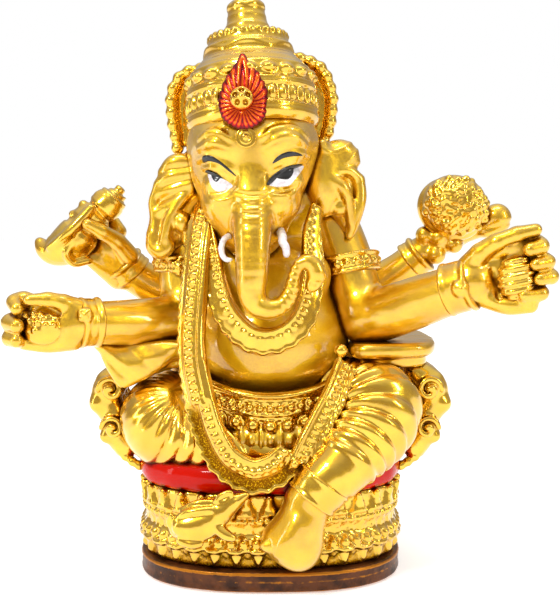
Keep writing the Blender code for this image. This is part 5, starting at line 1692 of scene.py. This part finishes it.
def mark_hollows():
    """Stores how enclosed each point of each piece is, 0 in the open and 1 deep in a groove; the gold and
    red materials darken with it as painted shade.
    """
    points = [mesh_points(piece.data) / MM for piece in pieces]
    starts = np.cumsum([0] + [len(spots) for spots in points[:-1]])
    triangles = [mesh_triangles(piece.data) + start for piece, start in zip(pieces, starts)]
    voxel = grid_step(0.55)
    field, low = distance_field(np.concatenate(points), np.concatenate(triangles).astype(np.uint32), voxel)
    for piece, spots in zip(pieces, points):
        normals = mesh_points(piece.data, "normal")
        total = np.zeros(len(spots), np.float32)
        for reach in (0.7, 1.4, 2.8):
            away = trilinear(field, (spots + normals * reach) / voxel - low)
            total += np.clip(1 - away / reach, 0, 1) / 3
        store(piece, "hollow", total)


def finish_pins():
    """The steel pins keep their CAD shape and get a steel finish."""
    for name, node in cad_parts.items():
        if name.endswith("_pin") or name.startswith("arm_pin"):
            node.data.materials.clear()
            node.data.materials.append(STEEL)


# --- Floor, light and camera --------------------------------------------------------


def make_floor():
    """A wide pale floor just under the foot plate, glowing a little so that it stays pale to its edge."""
    mesh = bpy.data.meshes.new("floor")
    size = 3.0
    mesh.from_pydata([(-size, -size, 0), (size, -size, 0), (size, size, 0), (-size, size, 0)], [],
                     [(0, 1, 2, 3)])
    floor = bpy.data.objects.new("floor", mesh)
    bpy.context.scene.collection.objects.link(floor)
    gap = 0.0002
    floor.location.z = CAD_BOX[0][2] - gap
    n = Nodes("pale_floor")
    tone = n.mix(n.noise(40.0), (0.86, 0.86, 0.86, 1), (0.9, 0.9, 0.9, 1))
    n.set(Emission_Color=tone, Emission_Strength=0.55)
    mesh.materials.append(n.set(Base_Color=tone, Roughness=0.7, Specular_IOR_Level=0.1))


def area_light(name, place, size, power):
    """A soft box at a place, aimed at the idol's middle."""
    light = bpy.data.lights.new(name, "AREA")
    light.shape = "RECTANGLE"
    light.size, light.size_y = size
    light.energy = power
    obj = bpy.data.objects.new(name, light)
    bpy.context.scene.collection.objects.link(obj)
    obj.location = place
    obj.rotation_euler = (Vector((0, 0, HEIGHT / 2)) - Vector(place)).to_track_quat("-Z", "Y").to_euler()


def make_lights():
    area_light("key", (-0.3, -0.42, 0.48), (0.12, 0.12), 1.6)
    area_light("fill", (0.5, -0.3, 0.3), (0.07, 0.26), 0.65)
    area_light("side", (-0.6, -0.2, 0.16), (0.08, 0.34), 0.4)
    area_light("top", (0, -0.14, 0.65), (0.42, 0.08), 1.0)


def make_sky():
    """A sky for the gold to reflect: pale overhead, tan at the horizon and grey below."""
    world = bpy.data.worlds.new("studio")
    bpy.context.scene.world = world
    world.use_nodes = True
    tree = world.node_tree
    coords = tree.nodes.new("ShaderNodeTexCoord")
    split = tree.nodes.new("ShaderNodeSeparateXYZ")
    height = tree.nodes.new("ShaderNodeMath")  # 0 straight down, 1 straight up
    height.operation = "MULTIPLY_ADD"
    height.inputs[1].default_value = 0.5
    height.inputs[2].default_value = 0.5
    ramp = tree.nodes.new("ShaderNodeValToRGB")
    sky = ramp.color_ramp.elements
    sky[0].position, sky[0].color = 0.0, (0.5, 0.5, 0.5, 1)
    sky[1].position, sky[1].color = 1.0, (1, 1, 1, 1)
    bands = {0.46: (0.5, 0.44, 0.34), 0.57: (0.46, 0.39, 0.3), 0.7: (0.46, 0.43, 0.38),
             0.85: (0.78, 0.78, 0.78)}
    for position, colour in bands.items():
        sky.new(position).color = (*colour, 1)
    rays = tree.nodes.new("ShaderNodeLightPath")
    seen = tree.nodes.new("ShaderNodeMix")  # the camera itself sees plain white
    seen.data_type = "RGBA"
    seen.inputs[7].default_value = (1, 1, 1, 1)
    for start, end in ((coords.outputs["Generated"], split.inputs[0]),
                       (split.outputs["Z"], height.inputs[0]), (height.outputs[0], ramp.inputs[0]),
                       (ramp.outputs[0], seen.inputs[6]), (rays.outputs["Is Camera Ray"], seen.inputs[0]),
                       (seen.outputs[2], tree.nodes["Background"].inputs["Color"])):
        tree.links.new(start, end)


def make_camera():
    """The eye is level with the chin, about two idol heights away, and looks slightly down."""
    place = Vector((2.6, -290, 95)) * MM
    aim = Vector((2.6, 0, 71.6)) * MM
    camera = bpy.data.cameras.new("camera")
    camera.sensor_fit = "VERTICAL"
    camera.sensor_height = 36.0
    camera.lens = 65.75
    camera.clip_start = 0.01
    obj = bpy.data.objects.new("camera", camera)
    obj.location = place
    obj.rotation_euler = (aim - place).to_track_quat("-Z", "Y").to_euler()
    bpy.context.scene.collection.objects.link(obj)
    bpy.context.scene.camera = obj


for make in (
        make_seat, make_torso, make_folded_leg, make_hanging_leg, make_anklet, make_belt,
        make_waist_cloth, make_sash, make_necklace, make_head, make_left_ear, make_right_ear, make_tusks,
        make_crown, make_fans, make_flame, make_rosette, make_forehead_disc, make_front_left_arm,
        make_front_right_arm, make_rear_left_arm, make_rear_right_arm, make_conch, make_lotus,
        make_sweets, make_bangles, make_mouse, mark_hollows, finish_pins, make_floor, make_lights,
        make_sky, make_camera):
    make()
bpy.context.scene.view_settings.view_transform = "Standard"
